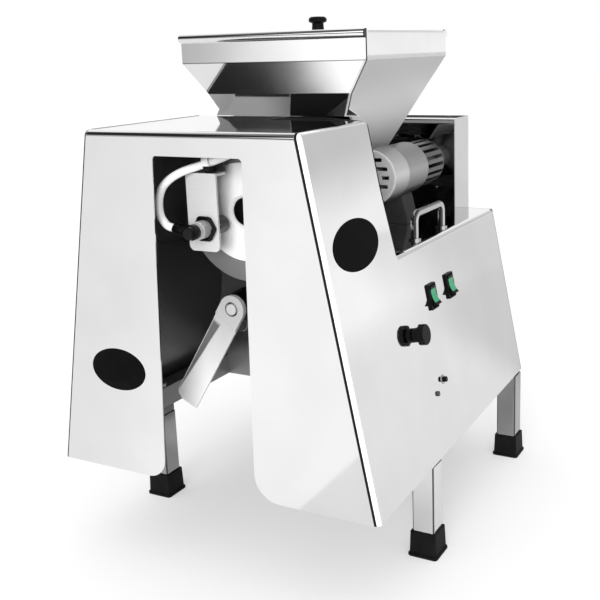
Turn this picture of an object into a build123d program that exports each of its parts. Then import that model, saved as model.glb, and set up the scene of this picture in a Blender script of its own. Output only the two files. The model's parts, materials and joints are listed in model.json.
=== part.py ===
import os
from math import sqrt, radians, tan, atan2, cos, sin, pi

from build123d import *

os.makedirs("parts", exist_ok=True)

# Body shell: one bent sheet with a flared front, a low deck and a tall front hood
sheet = 2.0
half_top = 119.3
left_wider = 6.7
flare = 0.1932
top_z = 459.4
deck_z = 323.6
front_y = -242.0
shell_rear_y = 190.0
bottom_front_z = 102.0
bottom_rear_z = 112.3
bend_r = 6.0
notch_top_y = -108.6
notch_mid_y = -108.2
notch_mid_z = 393.7
notch_low_y = -101.4
notch_corner_r = 6.0
hood_back_y = -57.0
hood_cut_x = 45.0
deck_front_y = -79.0
opening_x0 = -42.5
opening_x1 = 58.9
opening_left_lean = 0.043
opening_right_lean = 0.0175
opening_top_z = 436.0
opening_corner_r = 4.0
opening_left_r = 22.0
opening_right_r = 27.0
hood_skew = 3.0
hood_wall_y = -112.0
hood_wall_trim = 8.0
barrel_hole_gap = 1.0
lead_hole_z = 345.0
lead_hole_r = 9.0
seam_lap = 8.0
cut_low_z = 40.0
far = 400.0
slant = sqrt(1.0 + flare * flare)

# Base frame, legs and feet
rail_w = 15.0
rail_h = 25.0
rail_wall = 1.5
rail_z = 112.5
rail_front_in = 16.0
leg_w = 25.0
leg_wall = 2.0
leg_corner_r = 2.5
leg_x = 175.4
leg_front_y = -101.0
leg_rear_y = 174.0
leg_front_top = 104.0
leg_rear_top = 110.5
leg_pad_h = 16.0
leg_bolt_r = 4.0
leg_bolt_bite = 13.0
leg_bolt_head_r = 6.2
leg_bolt_head_h = 5.0
leg_bolt_shift = 1.0
foot_w = 34.0
foot_h = 28.0
foot_sole = 6.0
foot_lip_h = 4.0
foot_body_w = 31.0
foot_taper = 2.5
foot_corner_r = 4.0
foot_edge_r = 1.5

# Bulkhead with the electrics box on its right
bulkhead_y = 29.0
box_x = 85.0
box_front_y = -118.0
box_z0 = 145.0
box_z1 = 300.0
wire_hole_r = 12.0
wire_hole_in = 30.0
shaft_hole_gap = 6.0
gland_in_x = 20.0
gland_in_y = 18.0

# Rear transmission column
column_half = 94.6
column_top_z = 438.3
column_depth = 50.0
column_lip = 12.0
column_r = 8.0
cover_t = 2.6
case_screw_r = 1.7
case_head_r = 2.75
case_head_h = 2.0
case_screw_len = 6.0
case_sink_r = 4.2
cover_screw_in = 7.0
top_screw_in_x = 14.0
top_screw_in_y = 16.0

# Hopper
hopper_half = 113.0
hopper_front_y = -93.3
hopper_rear_y = 116.0
hopper_h = 141.0
hopper_band_h = 26.8
hopper_low_half = 30.8
facet_runs = (11.8, 27.9, 52.7)
facet_drops = (33.5, 51.6, 62.8)
hopper_left_in = 24.0
hopper_left_drop = 33.5
hopper_left_low = 52.2
hopper_left_lean = 2.0
skirt_top = 8.0
skirt_gap = 0.4
skirt_in = 12.0
skirt_flare = 8.0
throat_front_y = 5.0
throat_rise = 21.0
bead_r = 4.75
bead_drop = 0.8
bead_out = 0.5
tab_len = 19.0
tab_half = 24.0
tab_t = 3.0
tab_hole_r = 2.7
feed_screw_x = 16.0
feed_screw_r = 2.5
feed_screw_bite = 7.0
feed_head_r = 4.6
feed_head_h = 2.8
lid_t = 2.0
lid_gap = 0.6
lid_lip = 8.0
lid_knob_r = 10.25
lid_knob_neck_r = 7.25
lid_knob_h = 18.8
lid_knob_cap_h = 6.0
lid_knob_rim_h = 2.4
lid_stud_r = 2.5
lid_stud_len = 6.0

# Auger, barrel and nozzle, all on one axis along the depth
auger_rise = 46.3
neck_rise = 34.1
barrel_r = 33.0
bore_r = 30.0
barrel_front_y = -146.0
barrel_rear_y = 134.0
barrel_flange_r = 60.0
barrel_flange_t = 12.0
flight_gap = 0.5
flight_t = 3.0
flight_pitch = 44.0
flight_front_y = -134.0
flight_turns = 5.5
auger_shaft_r = 10.0
auger_nose = 9.0
bearing_r = 20.0
bearing_len = 36.0
barrel_end_t = 14.0
neck_half = 31.0
neck_wall = 3.0
foot_half = 38.0
foot_plate_t = 10.0
foot_plate_len = 30.0
foot_plate_at = (-57.0, 99.0)
foot_web_half = 20.0
foot_screw_x = 30.0
run_fit = 0.05
nozzle_y = -158.0
outlet_r = 14.4
outlet_disc_r = barrel_flange_r - 9.0
nozzle_ring_r = barrel_flange_r + 14.0
nozzle_lip = 6.0
nozzle_cone = 5.0
disc_gap = 0.1
disc_rim = 6.0
outlet_chamfer = 3.0
outlet_land = 2.0

# Cutting knife on its own axis below the nozzle
knife_x = -16.6
knife_drop = 102.5
knife_angle = 32.0
knife_gap = 1.5
blade_t = 3.0
blade_w = 30.0
blade_len = 131.0
blade_bevel = 7.5
blade_bevel_t = 0.9
blade_nose = 3.0
holder_edge_r = 1.0
holder_t = 3.0
holder_r = 15.0
holder_hole_r = 8.0
holder_len = 19.0
knife_shaft_r = 6.0
knife_hub_r = 16.0
knife_hub_len = 20.0
tube_r = 16.5
tube_bore_r = 12.0
tube_front_y = -136.0
hanger_y = -130.0
hanger_t = 10.0
hanger_rim = 12.0
hanger_lug = 21.0
hanger_bolt_r = 4.0
hanger_head_r = 8.0
hanger_head_h = 6.0
hanger_nut_r = 7.5
hanger_nut_h = 5.0
tube_flange = 14.0
tube_flange_t = 8.0
tube_land = 24.0
gearbox_w = 72.0
gearbox_len = 50.0
gearbox_r = 6.0
gear_can_r = 31.0
gear_can_len = 80.0
shaft_bite = 30.0
shaft_proud = 1.5

# Knife sensor with its bracket, plug and lead
sensor_x = -20.9
sensor_drop = 11.2
sensor_r = 9.0
sensor_face_gap = 3.0
plate_y = -193.0
plate_t = 3.0
plate_x0 = -43.0
plate_x1 = -6.3
plate_below = 24.0
plate_above = 55.2
plate_corner_r = 6.0
leg_back = 18.0
top_flange = 20.0
sensor_back_y = -208.0
sensor_step = 4.0
sensor_nut_r = 13.8
sensor_nut_t = 5.0
plug_r = 7.8
plug_ring_len = 7.0
plug_neck_r = 6.2
plug_taper = 3.0
plug_len = 20.0
clip_wall = 3.0
clip_len = 7.0
gland_r = 9.0
gland_h = 9.0
gland_stem_r = 6.0
gland_stem_len = 5.0
lead_r = 4.1

# Auger motor on the right of the barrel
motor_x = 68.0
motor_rise = 63.4
motor_r = 31.5
motor_rim = 1.5
motor_shaft_r = 6.0
motor_front_y = -2.0
motor_drum_y = 37.0
motor_back_y = 95.0
motor_bell_r = 28.0
motor_bell_len = 55.0
motor_cone_len = 15.0
motor_neck_r = 15.0
motor_wall = 4.0
stator_t = 8.0
rotor_gap = 2.0
motor_boss_r = 12.0
motor_boss_len = 14.0
front_slot_pitch = 10.0
front_slot_half = 23.0
front_slot_in = 14.0
rear_slot_depth = 10.0
rear_slot_len = 50.0
rear_slots = 18
slot_w = 4.2
cradle_len = 30.0
cradle_in = 20.0
cradle_h = 40.0
cradle_half = 12.0
cradle_foot = 6.0
cradle_t = 8.0

# Two belt stages inside the column
idler_x = -4.0
idler_z = 236.0
motor_pulley_r = 16.0
idler_big_r = 70.0
idler_small_r = 16.0
auger_pulley_r = 54.0
belt_t = 3.0
belt_w = 10.0
belt_gap = 0.4
belt_a_y = 201.0
belt_b_y = 219.0
axle_r = 8.0
axle_stud_r = 5.0
axle_nut_r = 9.0
axle_nut_t = 6.0
axle_collar_r = 16.0
axle_collar_t = 2.0
axle_head_r = 11.0
axle_head_t = 3.0
pulley_hub_r = 18.0
pulley_hub_half = 9.0
flange_rise = 5.0
flange_t = 1.5
side_gap = 0.4
idler_hole_r = 12.0
idler_hole_pcd_r = 44.0
auger_hole_r = 10.0
auger_hole_pcd_r = 35.0
pulley_holes = 5

# Controls on the right side panel
rocker_1_y = -37.7
rocker_2_y = 13.0
rocker_z = 266.6
bezel_w = 19.5
bezel_h = 28.2
bezel_t = 2.6
bezel_corner_r = 1.5
switch_lip = 1.2
switch_depth = 24.0
rocker_half = 6.9
rocker_len = 10.6
rocker_rise = 7.2
rocker_dip = 4.2
rocker_root = 4.0
rocker_well = 9.0
rocker_tilt = 10.0
pivot_depth = 1.0
pivot_r = 1.5
knob_y = -98.3
knob_z = 240.6
knob_r = 10.9
knob_neck_r = 7.5
knob_gap = 0.8
knob_neck_h = 7.4
knob_h = 7.1
knob_chamfer = 0.8
knob_grips = 10
knob_grip_r = 3.0
knob_grip_out = 2.2
knob_stem_r = 3.0
knob_stem_len = 10.0
pot_r = 9.0
pot_depth = 14.0
pot_bush_r = 5.0
pot_bush_out = 0.4
reset_y = -50.0
reset_z = 178.3
reset_r = 2.95
reset_out = 4.6
reset_depth = 5.2
reset_travel = 3.0
reset_flange = 0.8
reset_flange_t = 1.6
breaker_w = 16.0
breaker_h = 24.0
breaker_bush_r = 4.6
breaker_collar_r = 5.0
breaker_collar_t = 0.8
screw_y = -69.6
screw_z = 168.9

# Carrying handles and plain oval badges
handle_x = 130.0
handle_y0 = -21.0
handle_y1 = 56.0
handle_h = 28.5
handle_r = 4.2
handle_bend_r = 9.0
handle_washer = 2.5
handle_washer_t = 2.0
badge_t = 0.6
front_badge_x = -106.8
front_badge_z = 214.6
side_badge_y = -179.5
side_badge_z = 350.7
front_badge_w = 69.0
front_badge_h = 44.6
side_badge_w = 90.0
side_badge_h = 49.0


def half(z):
    return half_top + flare * (top_z - z)


def half_in(z):
    return half(z) - sheet * slant


def along_y(y):
    return Plane.XZ.offset(-y)


def axis_plane(x, z):
    return Plane(origin=(x, 0, z), x_dir=(0, 1, 0), z_dir=(1, 0, 0))


def facing(x, y, z):
    return Plane(origin=(x, y, z), x_dir=(1, 0, 0), z_dir=(0, -1, 0))


def panel_plane(y, z):
    return Plane(origin=(half(z), y, z), x_dir=(0, 1, 0), z_dir=(1, 0, flare))


def panel_section(y, z, depth, tilt=0):
    x0 = half(z) - depth / slant
    z0 = z - depth * flare / slant
    rise = atan2(1, -flare) - radians(tilt)
    return Plane(origin=(x0, y, z0), x_dir=(cos(rise), 0, sin(rise)), z_dir=(0, 1, 0))


rail_z1 = rail_z + rail_h
rail_x1 = half_in(rail_z1)
rail_x0 = rail_x1 - rail_w
rail_mid = rail_x0 + rail_w / 2
rails = ((-1, rail_mid + left_wider / 2, rail_w + left_wider), (1, rail_mid, rail_w))
rail_front_y = front_y + rail_front_in
cross_bar_y = (bulkhead_y + sheet + rail_w / 2, shell_rear_y - rail_w / 2)
wall_y = shell_rear_y
column_back_y = wall_y + column_depth
bell_end_y = motor_back_y + motor_bell_len
under_deck = deck_z - sheet
auger_z = deck_z + auger_rise
motor_z = deck_z + motor_rise
knife_z = auger_z - knife_drop
sensor_z = auger_z - sensor_drop
plate_z0 = sensor_z - plate_below
plate_z1 = sensor_z + plate_above
hopper_bottom_z = auger_z + neck_rise
hopper_top_z = hopper_bottom_z + hopper_h
hopper_band_z = hopper_top_z - hopper_band_h
hopper_left_z = hopper_band_z - hopper_left_low
bead_z = hopper_top_z - bead_drop

auger_axis = Axis((0, 0, auger_z), (0, 1, 0))
knife_axis = Axis((knife_x, 0, knife_z), (0, 1, 0))
motor_axis = Axis((motor_x, 0, motor_z), (0, 1, 0))
idler_axis = Axis((idler_x, 0, idler_z), (0, 1, 0))
auger_plane = axis_plane(0, auger_z)
knife_plane = axis_plane(knife_x, knife_z)
motor_plane = axis_plane(motor_x, motor_z)
idler_plane = axis_plane(idler_x, idler_z)

gland_x = box_x + gland_in_x
gland_y = box_front_y + gland_in_y
gland_z = box_z1 + gland_h

blade_back_y = nozzle_y - knife_gap
blade_front_y = blade_back_y - blade_t
holder_front_y = blade_front_y - holder_t

# Inside of the shell, kept open below, behind and at the hood's back
with BuildPart() as shell_inside:
    with BuildSketch(Plane.YZ):
        with BuildLine():
            Polyline(
                (front_y + sheet, cut_low_z),
                (far, cut_low_z),
                (far, under_deck),
                (deck_front_y, under_deck),
                (deck_front_y, deck_z + bend_r),
                (hood_back_y, top_z - sheet),
                (front_y + sheet, top_z - sheet),
                close=True,
            )
        make_face()
    extrude(amount=far, both=True)
    with BuildSketch(Plane.XZ):
        with BuildLine():
            Polyline(
                (-half_in(cut_low_z) - left_wider, cut_low_z),
                (half_in(cut_low_z), cut_low_z),
                (half_in(top_z), top_z),
                (-half_in(top_z) - left_wider, top_z),
                close=True,
            )
        make_face()
    extrude(amount=far, both=True, mode=Mode.INTERSECT)
    hood_edges = shell_inside.edges().filter_by_position(
        Axis.Y, front_y + sheet - 0.01, front_y + sheet + 0.01
    )
    fillet(hood_edges.sort_by(Axis.Z)[1:], radius=bend_r - sheet)

# Outer form of the bent sheet, hollowed, with the tall front opening and the panel cut-outs
with BuildPart() as body_shell:
    with BuildSketch(Plane.YZ):
        with BuildLine():
            Polyline(
                (front_y, bottom_front_z),
                (shell_rear_y, bottom_rear_z),
                (shell_rear_y, deck_z),
                (notch_low_y, deck_z),
                (notch_mid_y, notch_mid_z),
                (notch_top_y, top_z),
                (front_y, top_z),
                close=True,
            )
        make_face()
    extrude(amount=far, both=True)
    with BuildSketch(Plane.XZ):
        with BuildLine():
            Polyline(
                (-half(cut_low_z) - left_wider, cut_low_z),
                (half(cut_low_z), cut_low_z),
                (half_top, top_z),
                (-half_top - left_wider, top_z),
                close=True,
            )
        make_face()
    extrude(amount=far, both=True, mode=Mode.INTERSECT)
    front_edges = body_shell.edges().filter_by_position(Axis.Y, front_y - 0.01, front_y + 0.01)
    fillet(front_edges.sort_by(Axis.Z)[1:], radius=bend_r)
    deck_edges = body_shell.edges().filter_by_position(Axis.Z, deck_z - 0.01, deck_z + 0.01)
    fillet(deck_edges.filter_by(Axis.Y), radius=bend_r)
    hood_sides = body_shell.edges().filter_by_position(Axis.Z, top_z - 0.01, top_z + 0.01)
    fillet(hood_sides.filter_by(Axis.Y), radius=bend_r)
    add(shell_inside.part, mode=Mode.SUBTRACT)
    # hood's top plate carried back to the hopper, cut off at an angle on the right
    with BuildSketch(Plane.XY.offset(top_z - sheet)):
        with BuildLine():
            Polyline(
                (half_top - bend_r, notch_top_y),
                (hood_cut_x, hood_back_y - hood_skew),
                (-half_top - left_wider + bend_r, hood_back_y),
                (-half_top - left_wider + bend_r, notch_top_y - seam_lap),
                (half_top - bend_r, notch_top_y - seam_lap),
                close=True,
            )
        make_face()
    extrude(amount=sheet)
    # wall across the hood behind the nozzle, with holes for the barrel and the sensor lead
    with BuildSketch(along_y(hood_wall_y)):
        with BuildLine():
            wall_low = half_in(under_deck) + sheet / 4
            wall_high = half_in(top_z - sheet - hood_wall_trim) + sheet / 4
            Polyline(
                (-wall_low - left_wider, under_deck),
                (wall_low, under_deck),
                (wall_high, top_z - sheet - hood_wall_trim),
                (wall_high - hood_wall_trim, top_z - 0.75 * sheet),
                (hood_wall_trim - wall_high - left_wider, top_z - 0.75 * sheet),
                (-wall_high - left_wider, top_z - sheet - hood_wall_trim),
                close=True,
            )
        make_face()
        with Locations((0, auger_z)):
            Circle(barrel_r + barrel_hole_gap, mode=Mode.SUBTRACT)
        with Locations((gland_x, lead_hole_z)):
            Circle(lead_hole_r, mode=Mode.SUBTRACT)
    extrude(amount=-sheet)
    # rounded upper rear corners of the hood's sides
    for side, edge_x in ((-1, half_top + left_wider), (1, half_top)):
        with BuildSketch(Plane.YZ.offset(side * (edge_x - bend_r - 0.5))):
            with Locations((notch_top_y, top_z)):
                Rectangle(2 * notch_corner_r, 2 * notch_corner_r)
            with Locations((notch_top_y - notch_corner_r, top_z - notch_corner_r)):
                Circle(notch_corner_r, mode=Mode.SUBTRACT)
        extrude(amount=side * 3 * bend_r, mode=Mode.SUBTRACT)
    # front opening, open at the bottom, with rounded lower corners
    with BuildSketch(along_y(front_y - 1)):
        with BuildLine():
            left_z = bottom_front_z + opening_left_r
            right_z = bottom_front_z + opening_right_r
            left_low_x = opening_x0 - opening_left_lean * (opening_top_z - left_z)
            right_low_x = opening_x1 - opening_right_lean * (opening_top_z - right_z)
            left_x = left_low_x - opening_left_r
            right_x = right_low_x + opening_right_r
            Polyline((left_x, cut_low_z), (left_x, bottom_front_z))
            RadiusArc((left_x, bottom_front_z), (left_low_x, left_z), -opening_left_r)
            Polyline(
                (left_low_x, left_z),
                (opening_x0, opening_top_z),
                (opening_x1, opening_top_z),
                (right_low_x, right_z),
            )
            RadiusArc((right_low_x, right_z), (right_x, bottom_front_z), -opening_right_r)
            Polyline((right_x, bottom_front_z), (right_x, cut_low_z), (left_x, cut_low_z))
        make_face()
        fillet(vertices().group_by(Axis.Y)[-1], radius=opening_corner_r)
    extrude(amount=-2 * bend_r, mode=Mode.SUBTRACT)
    # switch cut-outs, control holes
    for y in (rocker_1_y, rocker_2_y):
        with BuildSketch(panel_plane(y, rocker_z).offset(sheet)):
            Rectangle(bezel_w - 2 * switch_lip + 0.2, bezel_h - 2 * switch_lip + 0.8)
        extrude(amount=-4 * sheet, mode=Mode.SUBTRACT)
    for y, z, r in (
        (knob_y, knob_z, pot_bush_r + 0.1),
        (reset_y, reset_z, breaker_bush_r + 0.1),
        (screw_y, screw_z, case_screw_r),
    ):
        with BuildSketch(panel_plane(y, z).offset(sheet)):
            Circle(r)
        extrude(amount=-4 * sheet, mode=Mode.SUBTRACT)

body_shell.part.label = "body_shell"
export_step(body_shell.part, "parts/body_shell.step")

# Two long rails inside the panels' lower edges, tied by two cross bars
with BuildPart() as base_frame:
    for side, mid, width in rails:
        with Locations((side * mid, (rail_front_y + shell_rear_y) / 2, rail_z + rail_h / 2)):
            Box(width, shell_rear_y - rail_front_y, rail_h)
    for y in cross_bar_y:
        with Locations((0, y, rail_z + rail_h / 2)):
            Box(2 * rail_x0 + rail_wall, rail_w, rail_h)
    for side, mid, width in rails:
        with Locations((side * mid, (front_y + shell_rear_y) / 2, rail_z + rail_h / 2)):
            Box(width - 2 * rail_wall, 4 * far, rail_h - 2 * rail_wall, mode=Mode.SUBTRACT)
    for y in cross_bar_y:
        with Locations((0, y, rail_z + rail_h / 2)):
            Box(2 * rail_x0, rail_w - 2 * rail_wall, rail_h - 2 * rail_wall, mode=Mode.SUBTRACT)
    with BuildSketch(Plane.XY.offset(rail_z - 1)):
        for side in (-1, 1):
            for y in (leg_front_y, leg_rear_y):
                with Locations((side * rail_mid, y)):
                    Circle(leg_bolt_r)
    extrude(amount=rail_h + 2, mode=Mode.SUBTRACT)
base_frame.part.label = "base_frame"
export_step(base_frame.part, "parts/base_frame.step")

# Square tube legs: open tube with a solid bolt pad on top
for name, side, y, top in (
    ("leg_front_left", -1, leg_front_y, leg_front_top),
    ("leg_front_right", 1, leg_front_y, leg_front_top),
    ("leg_rear_left", -1, leg_rear_y, leg_rear_top),
    ("leg_rear_right", 1, leg_rear_y, leg_rear_top),
):
    with BuildPart() as leg:
        with BuildSketch(Plane.XY.offset(foot_sole)):
            with Locations((side * leg_x, y)):
                RectangleRounded(leg_w, leg_w, leg_corner_r)
        extrude(amount=top - foot_sole)
        with BuildSketch(Plane.XY.offset(foot_sole)):
            with Locations((side * leg_x, y)):
                Rectangle(leg_w - 2 * leg_wall, leg_w - 2 * leg_wall)
        extrude(amount=top - foot_sole - leg_pad_h, mode=Mode.SUBTRACT)
        with BuildSketch(Plane.XY.offset(top)):
            with Locations((side * rail_mid, y)):
                Rectangle(rail_w, leg_w - leg_wall)
        extrude(amount=rail_z - top)
        with BuildSketch(Plane.XY.offset(top - leg_bolt_bite - 1)):
            with Locations((side * rail_mid, y)):
                Circle(leg_bolt_r)
        extrude(amount=leg_bolt_bite + rail_h, mode=Mode.SUBTRACT)
    leg.part.label = name
    export_step(leg.part, "parts/" + name + ".step")

# Rubber feet: blocks on a wider lip, each with a socket for its leg
for name, side, y in (
    ("foot_front_left", -1, leg_front_y),
    ("foot_front_right", 1, leg_front_y),
    ("foot_rear_left", -1, leg_rear_y),
    ("foot_rear_right", 1, leg_rear_y),
):
    with BuildPart() as foot:
        with BuildSketch():
            with Locations((side * leg_x, y)):
                RectangleRounded(foot_w, foot_w, foot_corner_r)
        extrude(amount=foot_lip_h)
        fillet(foot.edges().group_by(Axis.Z)[0], radius=foot_edge_r)
        fillet(foot.edges().group_by(Axis.Z)[-1], radius=foot_edge_r)
        with BuildSketch(Plane.XY.offset(foot_lip_h)):
            with Locations((side * leg_x, y)):
                RectangleRounded(foot_body_w, foot_body_w, foot_corner_r - 1)
        extrude(amount=foot_h - foot_lip_h, taper=foot_taper)
        with BuildSketch(Plane.XY.offset(foot_sole)):
            with Locations((side * leg_x, y)):
                RectangleRounded(leg_w, leg_w, leg_corner_r)
        extrude(amount=foot_h, mode=Mode.SUBTRACT)
    foot.part.label = name
    export_step(foot.part, "parts/" + name + ".step")

# Leg bolts: hex heads on the rails, shanks into the pads
with BuildPart() as leg_bolts:
    for side in (-1, 1):
        for y, top in ((leg_front_y, leg_front_top), (leg_rear_y, leg_rear_top)):
            with BuildSketch(Plane.XY.offset(top - leg_bolt_bite)):
                with Locations((side * rail_mid, y)):
                    Circle(leg_bolt_r)
            extrude(amount=rail_z1 - top + leg_bolt_bite)
            with BuildSketch(Plane.XY.offset(rail_z1)):
                with Locations((side * (rail_mid - leg_bolt_shift), y)):
                    RegularPolygon(radius=leg_bolt_head_r, side_count=6)
            extrude(amount=leg_bolt_head_h)
leg_bolts.part.label = "leg_bolts"
export_step(leg_bolts.part, "parts/leg_bolts.step")

# Bulkhead across the body, with the closed electrics box welded to its front on the right
with BuildPart() as bulkhead:
    with BuildSketch(along_y(bulkhead_y)):
        with BuildLine():
            Polyline(
                (-rail_x0, rail_z),
                (rail_x0, rail_z),
                (rail_x0, rail_z1),
                (rail_x1, rail_z1),
                (half_in(under_deck) - bend_r, under_deck),
                (-half_in(under_deck) - left_wider + bend_r, under_deck),
                (-rail_x1 - left_wider, rail_z1),
                (-rail_x0, rail_z1),
                close=True,
            )
        make_face()
        with Locations((knife_x, knife_z)):
            Circle(knife_shaft_r + shaft_hole_gap, mode=Mode.SUBTRACT)
        with Locations((box_x + wire_hole_in, box_z0 + wire_hole_in)):
            Circle(wire_hole_r, mode=Mode.SUBTRACT)
    extrude(amount=-sheet)
    with BuildSketch(along_y(box_front_y)):
        with BuildLine():
            Polyline(
                (box_x, box_z0),
                (half_in(box_z0), box_z0),
                (half_in(box_z1), box_z1),
                (box_x, box_z1),
                close=True,
            )
        make_face()
    extrude(amount=box_front_y - bulkhead_y)
    with BuildSketch(along_y(box_front_y + sheet)):
        with BuildLine():
            Polyline(
                (box_x + sheet, box_z0 + sheet),
                (half(box_z0) + sheet, box_z0 + sheet),
                (half(box_z1) + sheet, box_z1 - sheet),
                (box_x + sheet, box_z1 - sheet),
                close=True,
            )
        make_face()
    extrude(amount=box_front_y + sheet - bulkhead_y, mode=Mode.SUBTRACT)
    with BuildSketch(Plane.XY.offset(box_z1 - 2 * sheet)):
        with Locations((gland_x, gland_y)):
            Circle(gland_stem_r)
    extrude(amount=4 * sheet, mode=Mode.SUBTRACT)
bulkhead.part.label = "bulkhead"
export_step(bulkhead.part, "parts/bulkhead.step")

# Rear wall and transmission column in one welded piece
with BuildPart() as column_inside:
    with Locations((0, wall_y + column_depth / 2, (rail_z + column_top_z) / 2)):
        Box(2 * (column_half - sheet), column_depth - 2 * sheet, column_top_z - rail_z - 2 * sheet)
    fillet(
        column_inside.edges().filter_by(Axis.X).group_by(Axis.Z)[-1].sort_by(Axis.Y)[0],
        radius=column_r - sheet,
    )
    with Locations((0, column_back_y, (rail_z + column_top_z) / 2)):
        Box(2 * (column_half - column_lip), column_lip, column_top_z - rail_z - 2 * column_lip)

cover_screw_x = column_half - column_lip / 2 - 1
cover_screw_z = (rail_z + cover_screw_in, (rail_z + column_top_z) / 2, column_top_z - cover_screw_in)
top_screw_x = column_half - top_screw_in_x
top_screw_xs = (-top_screw_x, 0, top_screw_x)
top_screw_y = wall_y + top_screw_in_y

with BuildPart() as column_housing:
    with Locations((0, wall_y + column_depth / 2, (rail_z + column_top_z) / 2)):
        Box(2 * column_half, column_depth, column_top_z - rail_z)
    fillet(
        column_housing.edges().filter_by(Axis.X).group_by(Axis.Z)[-1].sort_by(Axis.Y)[0],
        radius=column_r,
    )
    add(column_inside.part, mode=Mode.SUBTRACT)
    for side, wider in ((-1, left_wider), (1, 0)):
        with BuildSketch(along_y(wall_y)):
            with BuildLine():
                Polyline(
                    (side * (column_half - sheet), rail_z),
                    (side * (half(rail_z) + wider), rail_z),
                    (side * (half(deck_z) + wider), deck_z),
                    (side * (column_half - sheet), deck_z),
                    close=True,
                )
            make_face()
        extrude(amount=-sheet)
    with BuildSketch(along_y(wall_y - 1)):
        with Locations((0, auger_z)):
            Circle(auger_shaft_r + sheet)
        with Locations((motor_x, motor_z)):
            Circle(motor_shaft_r + 1.5 * sheet)
        with Locations((idler_x, idler_z)):
            Circle(axle_stud_r)
    extrude(amount=-2 * sheet, mode=Mode.SUBTRACT)
    for side in (-1, 1):
        for z in cover_screw_z:
            with BuildSketch(along_y(column_back_y - 2 * sheet)):
                with Locations((side * cover_screw_x, z)):
                    Circle(case_screw_r)
            extrude(amount=-3 * sheet, mode=Mode.SUBTRACT)
    with BuildSketch(Plane.XY.offset(column_top_z - 2 * sheet)):
        for x in top_screw_xs:
            with Locations((x, top_screw_y)):
                Circle(case_screw_r)
    extrude(amount=3 * sheet, mode=Mode.SUBTRACT)
column_housing.part.label = "column_housing"
export_step(column_housing.part, "parts/column_housing.step")

with BuildPart() as column_cover:
    with Locations((0, column_back_y + cover_t / 2, (rail_z + column_top_z) / 2)):
        Box(2 * column_half, cover_t, column_top_z - rail_z)
    for side in (-1, 1):
        for z in cover_screw_z:
            with Locations((side * cover_screw_x, column_back_y + cover_t / 2, z)):
                Cone(case_sink_r, case_screw_r, cover_t, rotation=(90, 0, 0), mode=Mode.SUBTRACT)
column_cover.part.label = "column_cover"
export_step(column_cover.part, "parts/column_cover.step")

# Case screws: countersunk at the back, pan heads on the column's top and on the side panel
with BuildPart() as case_screws:
    for side in (-1, 1):
        for z in cover_screw_z:
            with Locations((side * cover_screw_x, column_back_y + cover_t / 2, z)):
                Cone(case_sink_r, case_screw_r, cover_t, rotation=(90, 0, 0))
            with BuildSketch(along_y(column_back_y - case_screw_len)):
                with Locations((side * cover_screw_x, z)):
                    Circle(case_screw_r)
            extrude(amount=-case_screw_len)
    for x in top_screw_xs:
        with BuildSketch(Plane.XY.offset(column_top_z - case_screw_len)):
            with Locations((x, top_screw_y)):
                Circle(case_screw_r)
        extrude(amount=case_screw_len)
        with BuildSketch(Plane.XY.offset(column_top_z)):
            with Locations((x, top_screw_y)):
                Circle(case_head_r)
        extrude(amount=case_head_h)
    with BuildSketch(panel_plane(screw_y, screw_z)):
        Circle(case_head_r)
    extrude(amount=case_head_h)
    with BuildSketch(panel_plane(screw_y, screw_z).offset(-case_screw_len)):
        Circle(case_screw_r)
    extrude(amount=case_screw_len)
case_screws.part.label = "case_screws"
export_step(case_screws.part, "parts/case_screws.step")

# Hopper: vertical band, faceted front, sloping sides, open at the top and at the throat
hopper_front = (
    (hopper_front_y, hopper_band_z),
    *((hopper_front_y + run, hopper_band_z - drop) for run, drop in zip(facet_runs, facet_drops)),
    (throat_front_y, hopper_bottom_z + throat_rise),
)
hopper_slope = (hopper_half - hopper_low_half) / (hopper_band_z - hopper_bottom_z)
hopper_left_x = -hopper_half + hopper_left_in
hopper_left_low_x = hopper_left_x + hopper_left_lean
hopper_left_slope = (-hopper_left_low_x - hopper_low_half) / (hopper_left_z - hopper_bottom_z)
hopper_past = 20.0

with BuildPart() as hopper_inside:
    with BuildSketch(Plane.YZ):
        with BuildLine():
            Polyline(
                (hopper_front_y, hopper_top_z + hopper_past),
                *hopper_front,
                (throat_front_y, hopper_bottom_z - hopper_past),
                (hopper_rear_y, hopper_bottom_z - hopper_past),
                (hopper_rear_y, hopper_top_z + hopper_past),
                close=True,
            )
        make_face()
        offset(amount=-sheet, kind=Kind.INTERSECTION, mode=Mode.REPLACE)
    extrude(amount=far, both=True)
    with BuildSketch(Plane.XZ):
        with BuildLine():
            Polyline(
                (hopper_half, hopper_top_z + hopper_past),
                (hopper_half, hopper_band_z),
                (hopper_low_half - hopper_slope * hopper_past, hopper_bottom_z - hopper_past),
                (-hopper_low_half + hopper_left_slope * hopper_past, hopper_bottom_z - hopper_past),
                (hopper_left_low_x, hopper_left_z),
                (hopper_left_x, hopper_band_z - hopper_left_drop),
                (-hopper_half, hopper_band_z),
                (-hopper_half, hopper_top_z + hopper_past),
                close=True,
            )
        make_face()
        offset(amount=-sheet, kind=Kind.INTERSECTION, mode=Mode.REPLACE)
    extrude(amount=far, both=True, mode=Mode.INTERSECT)

hopper_screw_y = (throat_front_y - tab_len / 2 - 1, hopper_rear_y + tab_len / 2 + 1)

# Skirt in line with the hopper's second facet, down to the hood's top plate
facet_lean = (facet_runs[1] - facet_runs[0]) / (facet_drops[1] - facet_drops[0])


def skirt_y(z):
    return hopper_front_y + facet_runs[1] + facet_lean * (hopper_band_z - facet_drops[1] - z)


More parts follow.
